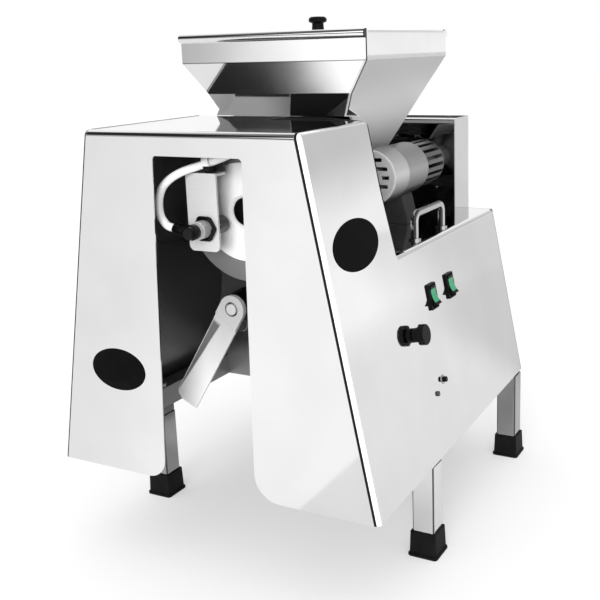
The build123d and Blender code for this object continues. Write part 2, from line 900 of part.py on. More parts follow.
with BuildPart() as hopper_skirt:
    with BuildSketch(Plane.YZ):
        with BuildLine():
            Polyline(
                (skirt_y(top_z + skirt_top), top_z + skirt_top),
                (skirt_y(top_z + skirt_gap), top_z + skirt_gap),
                (skirt_y(top_z + skirt_gap) + 1.5 * sheet, top_z + skirt_gap),
                (skirt_y(top_z + skirt_top) + 1.5 * sheet, top_z + skirt_top),
                close=True,
            )
        make_face()
    extrude(amount=far, both=True)
    with BuildSketch(Plane.XZ):
        with BuildLine():
            Polyline(
                (hopper_left_low_x, top_z + skirt_top),
                (-hopper_left_x - skirt_in, top_z + skirt_top),
                (-hopper_left_x - skirt_in + skirt_flare, top_z + skirt_gap),
                (hopper_left_x - skirt_flare + 1, top_z + skirt_gap),
                close=True,
            )
        make_face()
    extrude(amount=far, both=True, mode=Mode.INTERSECT)

with BuildPart() as hopper:
    with BuildSketch(Plane.YZ):
        with BuildLine():
            Polyline(
                (hopper_front_y, hopper_top_z),
                *hopper_front,
                (throat_front_y, hopper_bottom_z),
                (hopper_rear_y, hopper_bottom_z),
                (hopper_rear_y, hopper_top_z),
                close=True,
            )
        make_face()
    extrude(amount=far, both=True)
    with BuildSketch(Plane.XZ):
        with BuildLine():
            Polyline(
                (hopper_half, hopper_top_z),
                (hopper_half, hopper_band_z),
                (hopper_low_half, hopper_bottom_z),
                (-hopper_low_half, hopper_bottom_z),
                (hopper_left_low_x, hopper_left_z),
                (hopper_left_x, hopper_band_z - hopper_left_drop),
                (-hopper_half, hopper_band_z),
                (-hopper_half, hopper_top_z),
                close=True,
            )
        make_face()
    extrude(amount=far, both=True, mode=Mode.INTERSECT)
    add(hopper_skirt.part)
    # rolled beads along the front and rear rims
    with Locations((0, hopper_front_y - bead_out, bead_z), (0, hopper_rear_y + bead_out, bead_z)):
        Cylinder(bead_r, 2 * hopper_half, rotation=(0, 90, 0))
    with Locations(
        (0, throat_front_y - tab_len / 2 + 0.5, hopper_bottom_z + tab_t / 2),
        (0, hopper_rear_y + tab_len / 2 - 0.5, hopper_bottom_z + tab_t / 2),
    ):
        Box(2 * tab_half, tab_len + 1, tab_t)
    add(hopper_inside.part, mode=Mode.SUBTRACT)
    with BuildSketch(Plane.XY.offset(hopper_bottom_z - 1)):
        for y in hopper_screw_y:
            with Locations((-feed_screw_x, y), (feed_screw_x, y)):
                Circle(tab_hole_r)
    extrude(amount=tab_t + 2, mode=Mode.SUBTRACT)
hopper.part.label = "hopper"
export_step(hopper.part, "parts/hopper.step")

# Lift-off lid, located by a lip that drops inside the hopper
lid_y = (hopper_front_y + hopper_rear_y) / 2
lid_depth = hopper_rear_y - hopper_front_y
with BuildPart() as hopper_lid:
    with Locations((0, lid_y, hopper_top_z + lid_t / 2)):
        Box(2 * hopper_half, lid_depth - 2 * bead_r, lid_t)
    with Locations((0, lid_y, hopper_top_z - lid_lip / 2)):
        Box(
            2 * (hopper_half - sheet - lid_gap),
            lid_depth - 2 * (bead_r - bead_out + lid_gap),
            lid_lip,
        )
    with Locations((0, lid_y, hopper_top_z - lid_lip / 2)):
        Box(
            2 * (hopper_half - 2 * sheet - lid_gap),
            lid_depth - 2 * (bead_r - bead_out + sheet + lid_gap),
            lid_lip,
            mode=Mode.SUBTRACT,
        )
    with Locations((0, lid_y, hopper_top_z)):
        Cylinder(lid_stud_r, 4 * lid_lip, mode=Mode.SUBTRACT)
hopper_lid.part.label = "hopper_lid"
export_step(hopper_lid.part, "parts/hopper_lid.step")

lid_top_z = hopper_top_z + lid_t
with BuildPart() as lid_knob:
    with BuildSketch(Plane(origin=(0, lid_y, lid_top_z), x_dir=(1, 0, 0), z_dir=(0, -1, 0))):
        with BuildLine():
            Polyline(
                (0, -lid_stud_len),
                (lid_stud_r, -lid_stud_len),
                (lid_stud_r, 0),
                (lid_knob_neck_r, 0),
                (lid_knob_neck_r - 0.8, lid_knob_h - lid_knob_cap_h - 1.4),
                (lid_knob_r, lid_knob_h - lid_knob_cap_h),
                (lid_knob_r, lid_knob_h - lid_knob_rim_h),
                (lid_knob_r - lid_knob_rim_h + 0.2, lid_knob_h - 0.4),
                (0, lid_knob_h),
                close=True,
            )
        make_face()
    revolve(axis=Axis((0, lid_y, 0), (0, 0, 1)))
lid_knob.part.label = "lid_knob"
export_step(lid_knob.part, "parts/lid_knob.step")

# Auger barrel: threaded front flange, feet on the deck, feed neck, closed rear end with a long bearing
foot_spans = tuple((y - foot_plate_len / 2, y + foot_plate_len / 2) for y in foot_plate_at)
with BuildPart() as auger_barrel:
    with BuildSketch(along_y(barrel_front_y)):
        with Locations((0, auger_z)):
            Circle(barrel_r)
    extrude(amount=barrel_front_y - barrel_rear_y)
    with BuildSketch(along_y(barrel_front_y)):
        with Locations((0, auger_z)):
            Circle(barrel_flange_r)
    extrude(amount=-barrel_flange_t)
    neck_y0 = throat_front_y - tab_len - 1
    with Locations((0, (neck_y0 + barrel_rear_y) / 2, (auger_z + hopper_bottom_z) / 2)):
        Box(2 * neck_half, barrel_rear_y - neck_y0, hopper_bottom_z - auger_z)
    for y0, y1 in foot_spans:
        with Locations((0, (y0 + y1) / 2, deck_z + foot_plate_t / 2)):
            Box(2 * foot_half, y1 - y0, foot_plate_t)
        with Locations((0, (y0 + y1) / 2, (deck_z + auger_z) / 2)):
            Box(2 * foot_web_half, y1 - y0, auger_z - deck_z)
    with BuildSketch(along_y(barrel_front_y - 1)):
        with Locations((0, auger_z)):
            Circle(bore_r)
    extrude(amount=barrel_front_y - 1 - barrel_rear_y + barrel_end_t, mode=Mode.SUBTRACT)
    with BuildSketch(along_y(barrel_rear_y)):
        with Locations((0, auger_z)):
            Circle(bearing_r)
    extrude(amount=-bearing_len)
    with BuildSketch(along_y(barrel_rear_y - barrel_end_t - 1)):
        with Locations((0, auger_z)):
            Circle(auger_shaft_r + run_fit)
    extrude(amount=-barrel_end_t - bearing_len - 2, mode=Mode.SUBTRACT)
    throat_y0 = throat_front_y + sheet
    throat_y1 = hopper_rear_y - sheet
    with Locations((0, (throat_y0 + throat_y1) / 2, auger_z + neck_rise)):
        Box(2 * (neck_half - neck_wall), throat_y1 - throat_y0, 2 * neck_rise, mode=Mode.SUBTRACT)
    with BuildSketch(Plane.XY.offset(hopper_bottom_z - feed_screw_bite - 1)):
        for y in hopper_screw_y:
            with Locations((-feed_screw_x, y), (feed_screw_x, y)):
                Circle(feed_screw_r)
    extrude(amount=feed_screw_bite + 3, mode=Mode.SUBTRACT)
    with BuildSketch(Plane.XY.offset(deck_z - 1)):
        for y0, y1 in foot_spans:
            with Locations((-foot_screw_x, (y0 + y1) / 2), (foot_screw_x, (y0 + y1) / 2)):
                Circle(tab_hole_r)
    extrude(amount=foot_plate_t + 2, mode=Mode.SUBTRACT)
auger_barrel.part.label = "auger_barrel"
export_step(auger_barrel.part, "parts/auger_barrel.step")

# Button-head screws: hopper tabs to barrel neck, barrel feet to deck
with BuildPart() as feed_screws:
    for y in hopper_screw_y:
        for x in (-feed_screw_x, feed_screw_x):
            with BuildSketch(Plane.XY.offset(hopper_bottom_z - feed_screw_bite)):
                with Locations((x, y)):
                    Circle(feed_screw_r)
            extrude(amount=feed_screw_bite + tab_t)
            with BuildSketch(Plane.XY.offset(hopper_bottom_z + tab_t)):
                with Locations((x, y)):
                    Circle(feed_head_r)
            extrude(amount=feed_head_h)
    for y0, y1 in foot_spans:
        for x in (-foot_screw_x, foot_screw_x):
            with BuildSketch(Plane.XY.offset(deck_z)):
                with Locations((x, (y0 + y1) / 2)):
                    Circle(feed_screw_r)
            extrude(amount=foot_plate_t)
            with BuildSketch(Plane.XY.offset(deck_z + foot_plate_t)):
                with Locations((x, (y0 + y1) / 2)):
                    Circle(feed_head_r)
            extrude(amount=feed_head_h)
feed_screws.part.label = "feed_screws"
export_step(feed_screws.part, "parts/feed_screws.step")

# Auger: one welded piece of shaft and screw flight
flight_r = bore_r - flight_gap
flight_mid_r = (flight_r + auger_shaft_r - 1) / 2
with BuildPart() as auger:
    with BuildLine() as flight_path:
        Helix(
            pitch=flight_pitch,
            height=flight_pitch * flight_turns,
            radius=flight_mid_r,
            center=(0, flight_front_y, auger_z),
            direction=(0, 1, 0),
        )
    start = flight_path.line @ 0
    radial = start - Vector(0, flight_front_y, auger_z)
    with BuildSketch(Plane(origin=start, x_dir=radial, z_dir=flight_path.line % 0)):
        Rectangle(flight_r - auger_shaft_r + 1, flight_t)
    sweep(path=flight_path.line, is_frenet=True)
    with BuildSketch(auger_plane):
        with BuildLine():
            Polyline(
                (flight_front_y - auger_nose, 0),
                (flight_front_y - auger_nose + 1, auger_shaft_r / 2),
                (flight_front_y, auger_shaft_r),
                (belt_b_y + pulley_hub_half + 1, auger_shaft_r),
                (belt_b_y + pulley_hub_half + 1, 0),
                close=True,
            )
        make_face()
    revolve(axis=auger_axis)
auger.part.label = "auger"
export_step(auger.part, "parts/auger.step")

# Ring nut that clamps the outlet disc on the barrel's flange
ring_back_y = barrel_front_y + barrel_flange_t + 2
with BuildPart() as nozzle_ring:
    with BuildSketch(auger_plane):
        with BuildLine():
            Polyline(
                (nozzle_y, outlet_disc_r + disc_gap),
                (nozzle_y, outlet_disc_r + outlet_land),
                (nozzle_y + nozzle_cone, nozzle_ring_r),
                (ring_back_y, nozzle_ring_r),
                (ring_back_y, barrel_flange_r),
                (nozzle_y + nozzle_lip, barrel_flange_r),
                (nozzle_y + nozzle_lip, outlet_disc_r + disc_gap),
                close=True,
            )
        make_face()
    revolve(axis=auger_axis)
nozzle_ring.part.label = "nozzle_ring"
export_step(nozzle_ring.part, "parts/nozzle_ring.step")

# Outlet disc with its tapered feed and round outlet
with BuildPart() as outlet_disc:
    with BuildSketch(auger_plane):
        with BuildLine():
            Polyline(
                (nozzle_y, outlet_r + outlet_chamfer),
                (nozzle_y, outlet_disc_r),
                (nozzle_y + nozzle_lip, outlet_disc_r),
                (nozzle_y + nozzle_lip, outlet_disc_r + disc_rim),
                (barrel_front_y, outlet_disc_r + disc_rim),
                (barrel_front_y, bore_r - 1),
                (nozzle_y + outlet_chamfer + outlet_land + 0.5, outlet_r),
                (nozzle_y + outlet_chamfer + 0.5, outlet_r),
                close=True,
            )
        make_face()
    revolve(axis=auger_axis)
outlet_disc.part.label = "outlet_disc"
export_step(outlet_disc.part, "parts/outlet_disc.step")

# Knife blade: a long bar hanging left of straight down, bevelled on its left edge
blade_plane = Plane(
    origin=(knife_x, blade_front_y, knife_z),
    x_dir=(cos(radians(knife_angle)), 0, -sin(radians(knife_angle))),
    z_dir=(0, -1, 0),
)
with BuildPart() as knife_blade:
    with BuildSketch(blade_plane):
        with BuildLine():
            Polyline(
                (-blade_w / 2, 0),
                (-blade_w / 2, -blade_len + blade_nose),
                (-blade_w / 2 + blade_nose, -blade_len - 1),
                (-blade_w / 2 + 3 * blade_nose, -blade_len - blade_nose),
                (blade_w / 2, -blade_len - 1),
                (blade_w / 2, 0),
            )
            ThreePointArc((blade_w / 2, 0), (0, blade_w / 2), (-blade_w / 2, 0))
        make_face()
        Circle(knife_shaft_r, mode=Mode.SUBTRACT)
    extrude(amount=-blade_t)
    # ground bevel from the holder's step down to the tip
    with BuildSketch(blade_plane):
        with BuildLine():
            Polyline(
                (-blade_w / 2 - 1, -holder_len - 4),
                (-blade_w / 2 + blade_bevel, -holder_len - 10),
                (-blade_w / 2 + blade_bevel, -blade_len - 5),
                (-blade_w / 2 - 1, -blade_len - 5),
                close=True,
            )
        make_face()
    extrude(amount=-blade_bevel_t, mode=Mode.SUBTRACT)
knife_blade.part.label = "knife_blade"
export_step(knife_blade.part, "parts/knife_blade.step")

# Holder plate in front of the blade's upper end
with BuildPart() as knife_holder:
    with BuildSketch(blade_plane):
        with BuildLine():
            Polyline(
                (-holder_r, 0),
                (-holder_r, -holder_len + blade_nose),
                (holder_r, -holder_len),
                (holder_r, 0),
            )
            ThreePointArc((holder_r, 0), (0, holder_r), (-holder_r, 0))
        make_face()
        Circle(holder_hole_r, mode=Mode.SUBTRACT)
    extrude(amount=holder_t)
    fillet(knife_holder.faces().sort_by(Axis.Y)[0].outer_wire().edges(), radius=holder_edge_r)
knife_holder.part.label = "knife_holder"
export_step(knife_holder.part, "parts/knife_holder.step")

# Black hub behind the blade, pinned to the shaft
with BuildPart() as knife_hub:
    with BuildSketch(knife_plane):
        with BuildLine():
            Polyline(
                (blade_back_y, knife_shaft_r),
                (blade_back_y, knife_hub_r),
                (blade_back_y + knife_hub_len, knife_hub_r),
                (blade_back_y + knife_hub_len, knife_shaft_r),
                close=True,
            )
        make_face()
    revolve(axis=knife_axis)
knife_hub.part.label = "knife_hub"
export_step(knife_hub.part, "parts/knife_hub.step")

gearbox_y = bulkhead_y + sheet
with BuildPart() as knife_shaft:
    with BuildSketch(along_y(holder_front_y - shaft_proud)):
        with Locations((knife_x, knife_z)):
            Circle(knife_shaft_r)
    extrude(amount=holder_front_y - shaft_proud - gearbox_y - shaft_bite)
    chamfer(knife_shaft.edges().group_by(Axis.Y)[0], length=shaft_proud / 1.5)
knife_shaft.part.label = "knife_shaft"
export_step(knife_shaft.part, "parts/knife_shaft.step")

# Bearing tube from the bulkhead to the hanger, bored to a running fit at both ends
with BuildPart() as knife_tube:
    with BuildSketch(knife_plane):
        with BuildLine():
            Polyline(
                (tube_front_y, knife_shaft_r + run_fit),
                (tube_front_y, tube_r),
                (bulkhead_y - tube_flange_t, tube_r),
                (bulkhead_y - tube_flange_t, tube_r + tube_flange),
                (bulkhead_y, tube_r + tube_flange),
                (bulkhead_y, knife_shaft_r + run_fit),
                (bulkhead_y - tube_land, knife_shaft_r + run_fit),
                (bulkhead_y - tube_land, tube_bore_r),
                (tube_front_y + tube_land, tube_bore_r),
                (tube_front_y + tube_land, knife_shaft_r + run_fit),
                close=True,
            )
        make_face()
    revolve(axis=knife_axis)
knife_tube.part.label = "knife_tube"
export_step(knife_tube.part, "parts/knife_tube.step")

# Hanger plate: slipped over the barrel, carrying the front end of the bearing tube
hanger_bolt_in = (9.0, 25.0)
hanger_bolt_at = (
    (knife_x - hanger_bolt_in[0], knife_z - hanger_bolt_in[1]),
    (knife_x + hanger_bolt_in[1], knife_z - hanger_bolt_in[0]),
)
with BuildPart() as knife_hanger:
    with BuildSketch(along_y(hanger_y)):
        with Locations((0, auger_z)):
            Circle(barrel_r + hanger_rim)
        with Locations((knife_x, knife_z)):
            Circle(tube_r + hanger_lug)
        make_hull()
        with Locations((0, auger_z)):
            Circle(barrel_r, mode=Mode.SUBTRACT)
        with Locations((knife_x, knife_z)):
            Circle(tube_r, mode=Mode.SUBTRACT)
        with Locations(*hanger_bolt_at):
            Circle(hanger_bolt_r, mode=Mode.SUBTRACT)
    extrude(amount=-hanger_t)
knife_hanger.part.label = "knife_hanger"
export_step(knife_hanger.part, "parts/knife_hanger.step")

with BuildPart() as hanger_bolts:
    for x, z in hanger_bolt_at:
        with BuildSketch(along_y(hanger_y)):
            with Locations((x, z)):
                Circle(hanger_bolt_r)
        extrude(amount=-hanger_t - hanger_nut_h - 1)
        with BuildSketch(along_y(hanger_y - hanger_head_h)):
            with Locations((x, z)):
                Circle(hanger_head_r)
        extrude(amount=-hanger_head_h)
        with BuildSketch(along_y(hanger_y + hanger_t)):
            with Locations((x, z)):
                RegularPolygon(radius=hanger_nut_r, side_count=6)
        extrude(amount=-hanger_nut_h)
hanger_bolts.part.label = "hanger_bolts"
export_step(hanger_bolts.part, "parts/hanger_bolts.step")

# Knife gearmotor on the back of the bulkhead
with BuildPart() as knife_gearmotor:
    with Locations((knife_x, gearbox_y + gearbox_len / 2, knife_z)):
        Box(gearbox_w, gearbox_len, gearbox_w)
    fillet(knife_gearmotor.edges().filter_by(Axis.Y), radius=gearbox_r)
    with BuildSketch(along_y(gearbox_y + gearbox_len)):
        with Locations((knife_x, knife_z)):
            Circle(gear_can_r)
    extrude(amount=-gear_can_len)
    with BuildSketch(along_y(gearbox_y - 1)):
        with Locations((knife_x, knife_z)):
            Circle(knife_shaft_r + run_fit)
    extrude(amount=-shaft_bite - 3, mode=Mode.SUBTRACT)
knife_gearmotor.part.label = "knife_gearmotor"
export_step(knife_gearmotor.part, "parts/knife_gearmotor.step")

# Sensor bracket: plate with rounded lower corners, leg back, riser welded under the hood
with BuildPart() as sensor_bracket:
    with BuildSketch(along_y(plate_y)):
        with BuildLine():
            Polyline(
                (plate_x0, plate_z0),
                (plate_x1, plate_z0),
                (plate_x1, plate_z1),
                (plate_x0, plate_z1),
                close=True,
            )
        make_face()
        fillet(vertices().group_by(Axis.Y)[0], radius=plate_corner_r)
        with Locations((sensor_x, sensor_z)):
            Circle(sensor_r, mode=Mode.SUBTRACT)
    extrude(amount=-plate_t)
    mid_x = (plate_x0 + plate_x1) / 2
    wide = plate_x1 - plate_x0
    with Locations((mid_x, plate_y + leg_back / 2, plate_z1 - plate_t / 2)):
        Box(wide, leg_back, plate_t)
    riser_h = top_z - sheet - plate_z1 + plate_t
    with Locations((mid_x, plate_y + leg_back - plate_t / 2, plate_z1 - plate_t + riser_h / 2)):
        Box(wide, plate_t, riser_h)
    with Locations((mid_x, plate_y + leg_back + top_flange / 2, top_z - sheet - plate_t / 2)):
        Box(wide, top_flange, plate_t)
sensor_bracket.part.label = "sensor_bracket"
export_step(sensor_bracket.part, "parts/sensor_bracket.step")

sensor_face_y = blade_front_y - sensor_face_gap
with BuildPart() as proximity_sensor:
    with BuildSketch(along_y(sensor_back_y)):
        with Locations((sensor_x, sensor_z)):
            Circle(sensor_r)
    extrude(amount=sensor_back_y - sensor_face_y)
    chamfer(proximity_sensor.edges().group_by(Axis.Y)[-1], length=1)
    with BuildSketch(along_y(sensor_back_y - sensor_step)):
        with Locations((sensor_x, sensor_z)):
            Circle(sensor_r - 0.8)
    extrude(amount=-sensor_step)
proximity_sensor.part.label = "proximity_sensor"
export_step(proximity_sensor.part, "parts/proximity_sensor.step")

with BuildPart() as sensor_nuts:
    for y in (plate_y - sensor_nut_t, plate_y + plate_t):
        with BuildSketch(along_y(y)):
            with Locations((sensor_x, sensor_z)):
                RegularPolygon(radius=sensor_nut_r, side_count=6)
                Circle(sensor_r, mode=Mode.SUBTRACT)
        extrude(amount=-sensor_nut_t)
    chamfer(sensor_nuts.edges().group_by(Axis.Y)[0].filter_by(GeomType.LINE), length=0.7)
sensor_nuts.part.label = "sensor_nuts"
export_step(sensor_nuts.part, "parts/sensor_nuts.step")

# Angled plug on the sensor's tail
plug_y1 = sensor_back_y - sensor_step
plug_mid_y = plug_y1 - plug_neck_r - 0.3
plug_y0 = plug_mid_y - plug_neck_r - 0.4
plug_dir = Vector(-0.98, 0, 0.18).normalized()
plug_end = Vector(sensor_x, plug_mid_y, sensor_z) + plug_dir * plug_len
with BuildPart() as sensor_plug:
    with BuildSketch(along_y(plug_y0)):
        with Locations((sensor_x, sensor_z)):
            Circle(plug_neck_r + 0.4)
    extrude(amount=plug_y0 - plug_y1)
    fillet(sensor_plug.edges().group_by(Axis.Y)[0], radius=2)
    with BuildSketch(along_y(plug_y1 - plug_ring_len)):
        with Locations((sensor_x, sensor_z)):
            Circle(plug_r)
    extrude(amount=-plug_ring_len)
    with BuildSketch(Plane(origin=(sensor_x, plug_mid_y, sensor_z), z_dir=plug_dir)):
        Circle(plug_neck_r)
    extrude(amount=plug_len, taper=plug_taper)
sensor_plug.part.label = "sensor_plug"
export_step(sensor_plug.part, "parts/sensor_plug.step")

# Sensor lead: round in a loop, through the clip, behind the hood and down to the electrics box
lead_points = (
    plug_end,
    plug_end + plug_dir * 9,
    Vector(-55.4, -220, 372.8),
    Vector(-55.9, -221, 383),
    Vector(-55.3, -220.5, 391.9),
    Vector(-52.9, -217.5, 402.4),
    Vector(-47.5, -211, 410.1),
    Vector(-39.4, -203.5, 415.9),
    Vector(-28.5, -196.5, 419.8),
    Vector(-4, -187, 427.5),
    Vector(20, -183.5, 438),
    Vector(52, -183, 443),
    Vector(84, -183, 433),
    Vector(100, -182, 402),
    Vector(104, -172, 375),
    Vector(105, -148, 361),
    Vector(gland_x, -122, 354),
    Vector(gland_x, gland_y, gland_z + 27),
    Vector(gland_x, gland_y, gland_z),
)
lead_radii = []
for before, here, after in zip(lead_points, lead_points[1:], lead_points[2:]):
    turn = (here - before).get_angle(after - here)
    run = min((here - before).length, (after - here).length)
    lead_radii.append(0.45 * run / tan(radians(turn / 2)))
with BuildPart() as sensor_lead:
    with BuildLine() as lead_path:
        FilletPolyline(*lead_points, radius=lead_radii)
    with BuildSketch(Plane(origin=plug_end, z_dir=plug_dir)):
        Circle(lead_r)
    sweep(path=lead_path.line)
sensor_lead.part.label = "sensor_lead"
export_step(sensor_lead.part, "parts/sensor_lead.step")
lead_length = lead_path.wires()[0].length
print("lead radii", [round(r, 1) for r in lead_radii])
print("lead length", round(lead_length, 1))
print("lead volume ratio", round(sensor_lead.part.volume / (pi * lead_r**2 * lead_length), 4))

# Clip that holds the lead on the bracket's leg, and the gland on the electrics box
clip_mid = (lead_points[8] + lead_points[9]) / 2
clip_dir = (lead_points[9] - lead_points[8]).normalized()
with BuildPart() as lead_clip:
    with BuildSketch(Plane(origin=clip_mid - clip_dir * clip_len / 2, z_dir=clip_dir)):
        Circle(lead_r + clip_wall)
    extrude(amount=clip_len)
    with Locations((clip_mid.X, clip_mid.Y + 4, (plate_z1 + clip_mid.Z - clip_wall) / 2)):
        Box(clip_len, 3 * clip_wall, clip_mid.Z - clip_wall - plate_z1)
    with BuildSketch(Plane(origin=clip_mid - clip_dir * 2 * clip_len, z_dir=clip_dir)):
        Circle(lead_r + 0.4)
    extrude(amount=4 * clip_len, mode=Mode.SUBTRACT)
lead_clip.part.label = "lead_clip"
export_step(lead_clip.part, "parts/lead_clip.step")

with BuildPart() as lead_gland:
    with BuildSketch(Plane.XY.offset(box_z1)):
        with Locations((gland_x, gland_y)):
            RegularPolygon(radius=gland_r, side_count=6)
    extrude(amount=gland_z - box_z1)
    with BuildSketch(Plane.XY.offset(box_z1 - sheet - gland_stem_len)):
        with Locations((gland_x, gland_y)):
            Circle(gland_stem_r)
    extrude(amount=sheet + gland_stem_len)
lead_gland.part.label = "lead_gland"
export_step(lead_gland.part, "parts/lead_gland.step")

# Motor: bright front drum with a flat face, slotted across in level rows
with BuildPart() as motor_front_shield:
    with BuildSketch(motor_plane):
        with BuildLine():
            Polyline(
                (motor_front_y, motor_shaft_r + run_fit),
                (motor_front_y, motor_r - motor_rim),
                (motor_front_y + motor_rim, motor_r),
                (motor_drum_y, motor_r),
                (motor_drum_y, motor_r - motor_wall),
                (motor_front_y + motor_wall, motor_r - motor_wall),
                (motor_front_y + motor_wall, motor_boss_r),
                (motor_front_y + motor_boss_len, motor_boss_r),
                (motor_front_y + motor_boss_len, motor_shaft_r + run_fit),
                close=True,
            )
        make_face()
    revolve(axis=motor_axis)
    with BuildSketch(facing(motor_x, motor_front_y - 1, motor_z)):
        for row in (-2, -1, 1, 2):
            rise = row * front_slot_pitch
            with Locations((0, rise)):
                Rectangle(2 * sqrt(front_slot_half**2 - (0.9 * rise) ** 2), slot_w)
        for side in (-1, 1):
            with Locations((side * (front_slot_half + front_slot_in) / 2, 0)):
                Rectangle(front_slot_half - front_slot_in, slot_w)
    extrude(amount=-1.5 - motor_wall, mode=Mode.SUBTRACT)
motor_front_shield.part.label = "motor_front_shield"
export_step(motor_front_shield.part, "parts/motor_front_shield.step")

with BuildPart() as motor_shell:
    with BuildSketch(motor_plane):
        with BuildLine():
            Polyline(
                (motor_drum_y, motor_r - 1 - stator_t),
                (motor_drum_y, motor_r - 1),
                (motor_back_y, motor_r - 1),
                (motor_back_y, motor_r - 1 - stator_t),
                close=True,
            )
        make_face()
    revolve(axis=motor_axis)
motor_shell.part.label = "motor_shell"
export_step(motor_shell.part, "parts/motor_shell.step")

# Rear shield, vented all round, bolted against the column
with BuildPart() as motor_rear_shield:
    with BuildSketch(motor_plane):
        with BuildLine():
            Polyline(
                (motor_back_y, motor_bell_r - motor_wall),
                (motor_back_y, motor_bell_r),
                (bell_end_y, motor_bell_r),
                (bell_end_y + motor_cone_len, motor_neck_r),
                (wall_y, motor_neck_r),
                (wall_y, motor_shaft_r + run_fit),
                (wall_y - motor_boss_len - 2, motor_shaft_r + run_fit),
                (wall_y - motor_boss_len - 2, motor_neck_r - motor_wall),
                (bell_end_y + motor_cone_len - motor_wall / 2, motor_neck_r - motor_wall),
                (bell_end_y - motor_wall / 2, motor_bell_r - motor_wall),
                close=True,
            )
        make_face()
    revolve(axis=motor_axis)
    with BuildSketch(facing(motor_x, motor_back_y + motor_wall, motor_z)):
        with PolarLocations(motor_bell_r - motor_wall / 2, rear_slots):
            Rectangle(rear_slot_depth, slot_w)
    extrude(amount=-rear_slot_len, mode=Mode.SUBTRACT)
motor_rear_shield.part.label = "motor_rear_shield"
export_step(motor_rear_shield.part, "parts/motor_rear_shield.step")

# Rotor with its shaft and the flanged belt pulley
rotor_r = motor_r - 1 - stator_t - rotor_gap
groove_half = belt_w / 2 + 1
with BuildPart() as motor_rotor:
    with BuildSketch(motor_plane):
        with BuildLine():
            Polyline(
                (motor_front_y + 1, 0),
                (motor_front_y + 1, motor_shaft_r),
                (motor_drum_y + rotor_gap, motor_shaft_r),
                (motor_drum_y + rotor_gap, rotor_r),
                (motor_back_y - rotor_gap, rotor_r),
                (motor_back_y - rotor_gap, motor_shaft_r),
                (belt_a_y - groove_half - flange_t, motor_shaft_r),
                (belt_a_y - groove_half - flange_t, motor_pulley_r + flange_rise),
                (belt_a_y - groove_half, motor_pulley_r + flange_rise),
                (belt_a_y - groove_half, motor_pulley_r),
                (belt_a_y + groove_half, motor_pulley_r),
                (belt_a_y + groove_half, motor_pulley_r + flange_rise),
                (belt_a_y + groove_half + flange_t, motor_pulley_r + flange_rise),
                (belt_a_y + groove_half + flange_t, 0),
                close=True,
            )
        make_face()
    revolve(axis=motor_axis)
motor_rotor.part.label = "motor_rotor"
export_step(motor_rotor.part, "parts/motor_rotor.step")

with BuildPart() as motor_cradle:
    with BuildSketch(along_y(motor_drum_y + cradle_in)):
        with BuildLine():
            Polyline(
                (motor_x - cradle_half, deck_z),
                (motor_x + cradle_half + cradle_foot, deck_z),
                (motor_x + cradle_half + cradle_foot, deck_z + cradle_t),
                (motor_x + cradle_half - 2, deck_z + cradle_h),
                (motor_x - cradle_half + 4, deck_z + cradle_h),
                (motor_x - cradle_half, deck_z + cradle_t),
                close=True,
            )
        make_face()
        with Locations((motor_x, motor_z)):
            Circle(motor_r - 1, mode=Mode.SUBTRACT)
    extrude(amount=-cradle_len)
motor_cradle.part.label = "motor_cradle"
export_step(motor_cradle.part, "parts/motor_cradle.step")

# Idler: fixed axle on the wall, and the turning cluster of a large and a small pulley
axle_end_y = belt_b_y + pulley_hub_half + axle_head_t
collar_y = wall_y + sheet + axle_collar_t
with BuildPart() as idler_axle:
    with BuildSketch(idler_plane):
        with BuildLine():
            Polyline(
                (wall_y - axle_nut_t, 0),
                (wall_y - axle_nut_t, axle_nut_r),
                (wall_y, axle_nut_r),
                (wall_y, axle_stud_r),
                (wall_y + sheet, axle_stud_r),
                (wall_y + sheet, axle_collar_r),
                (collar_y, axle_collar_r),
                (collar_y, axle_r),
                (axle_end_y, axle_r),
                (axle_end_y, axle_head_r),
                (axle_end_y + axle_head_t, axle_head_r),
                (axle_end_y + axle_head_t, 0),
                close=True,
            )
        make_face()
    revolve(axis=idler_axis)
idler_axle.part.label = "idler_axle"
export_step(idler_axle.part, "parts/idler_axle.step")

rim_half = belt_w / 2 + 0.5
with BuildPart() as idler_pulleys:
    with BuildSketch(idler_plane):
        with BuildLine():
            Polyline(
                (collar_y + side_gap, axle_r + run_fit),
                (collar_y + side_gap, pulley_hub_r),
                (belt_a_y - rim_half, pulley_hub_r),
                (belt_a_y - rim_half, idler_big_r),
                (belt_a_y + rim_half, idler_big_r),
                (belt_a_y + rim_half, idler_small_r + flange_rise),
                (belt_b_y - groove_half, idler_small_r + flange_rise),
                (belt_b_y - groove_half, idler_small_r),
                (belt_b_y + groove_half, idler_small_r),
                (belt_b_y + groove_half, idler_small_r + flange_rise),
                (belt_b_y + groove_half + flange_t, idler_small_r + flange_rise),
                (belt_b_y + groove_half + flange_t, idler_small_r - 2),
                (axle_end_y - side_gap, idler_small_r - 2),
                (axle_end_y - side_gap, axle_r + run_fit),
                close=True,
            )
        make_face()
    revolve(axis=idler_axis)
    with BuildSketch(facing(idler_x, belt_a_y, idler_z)):
        with PolarLocations(idler_hole_pcd_r, pulley_holes):
            Circle(idler_hole_r)
    extrude(amount=belt_w, both=True, mode=Mode.SUBTRACT)
idler_pulleys.part.label = "idler_pulleys"
export_step(idler_pulleys.part, "parts/idler_pulleys.step")

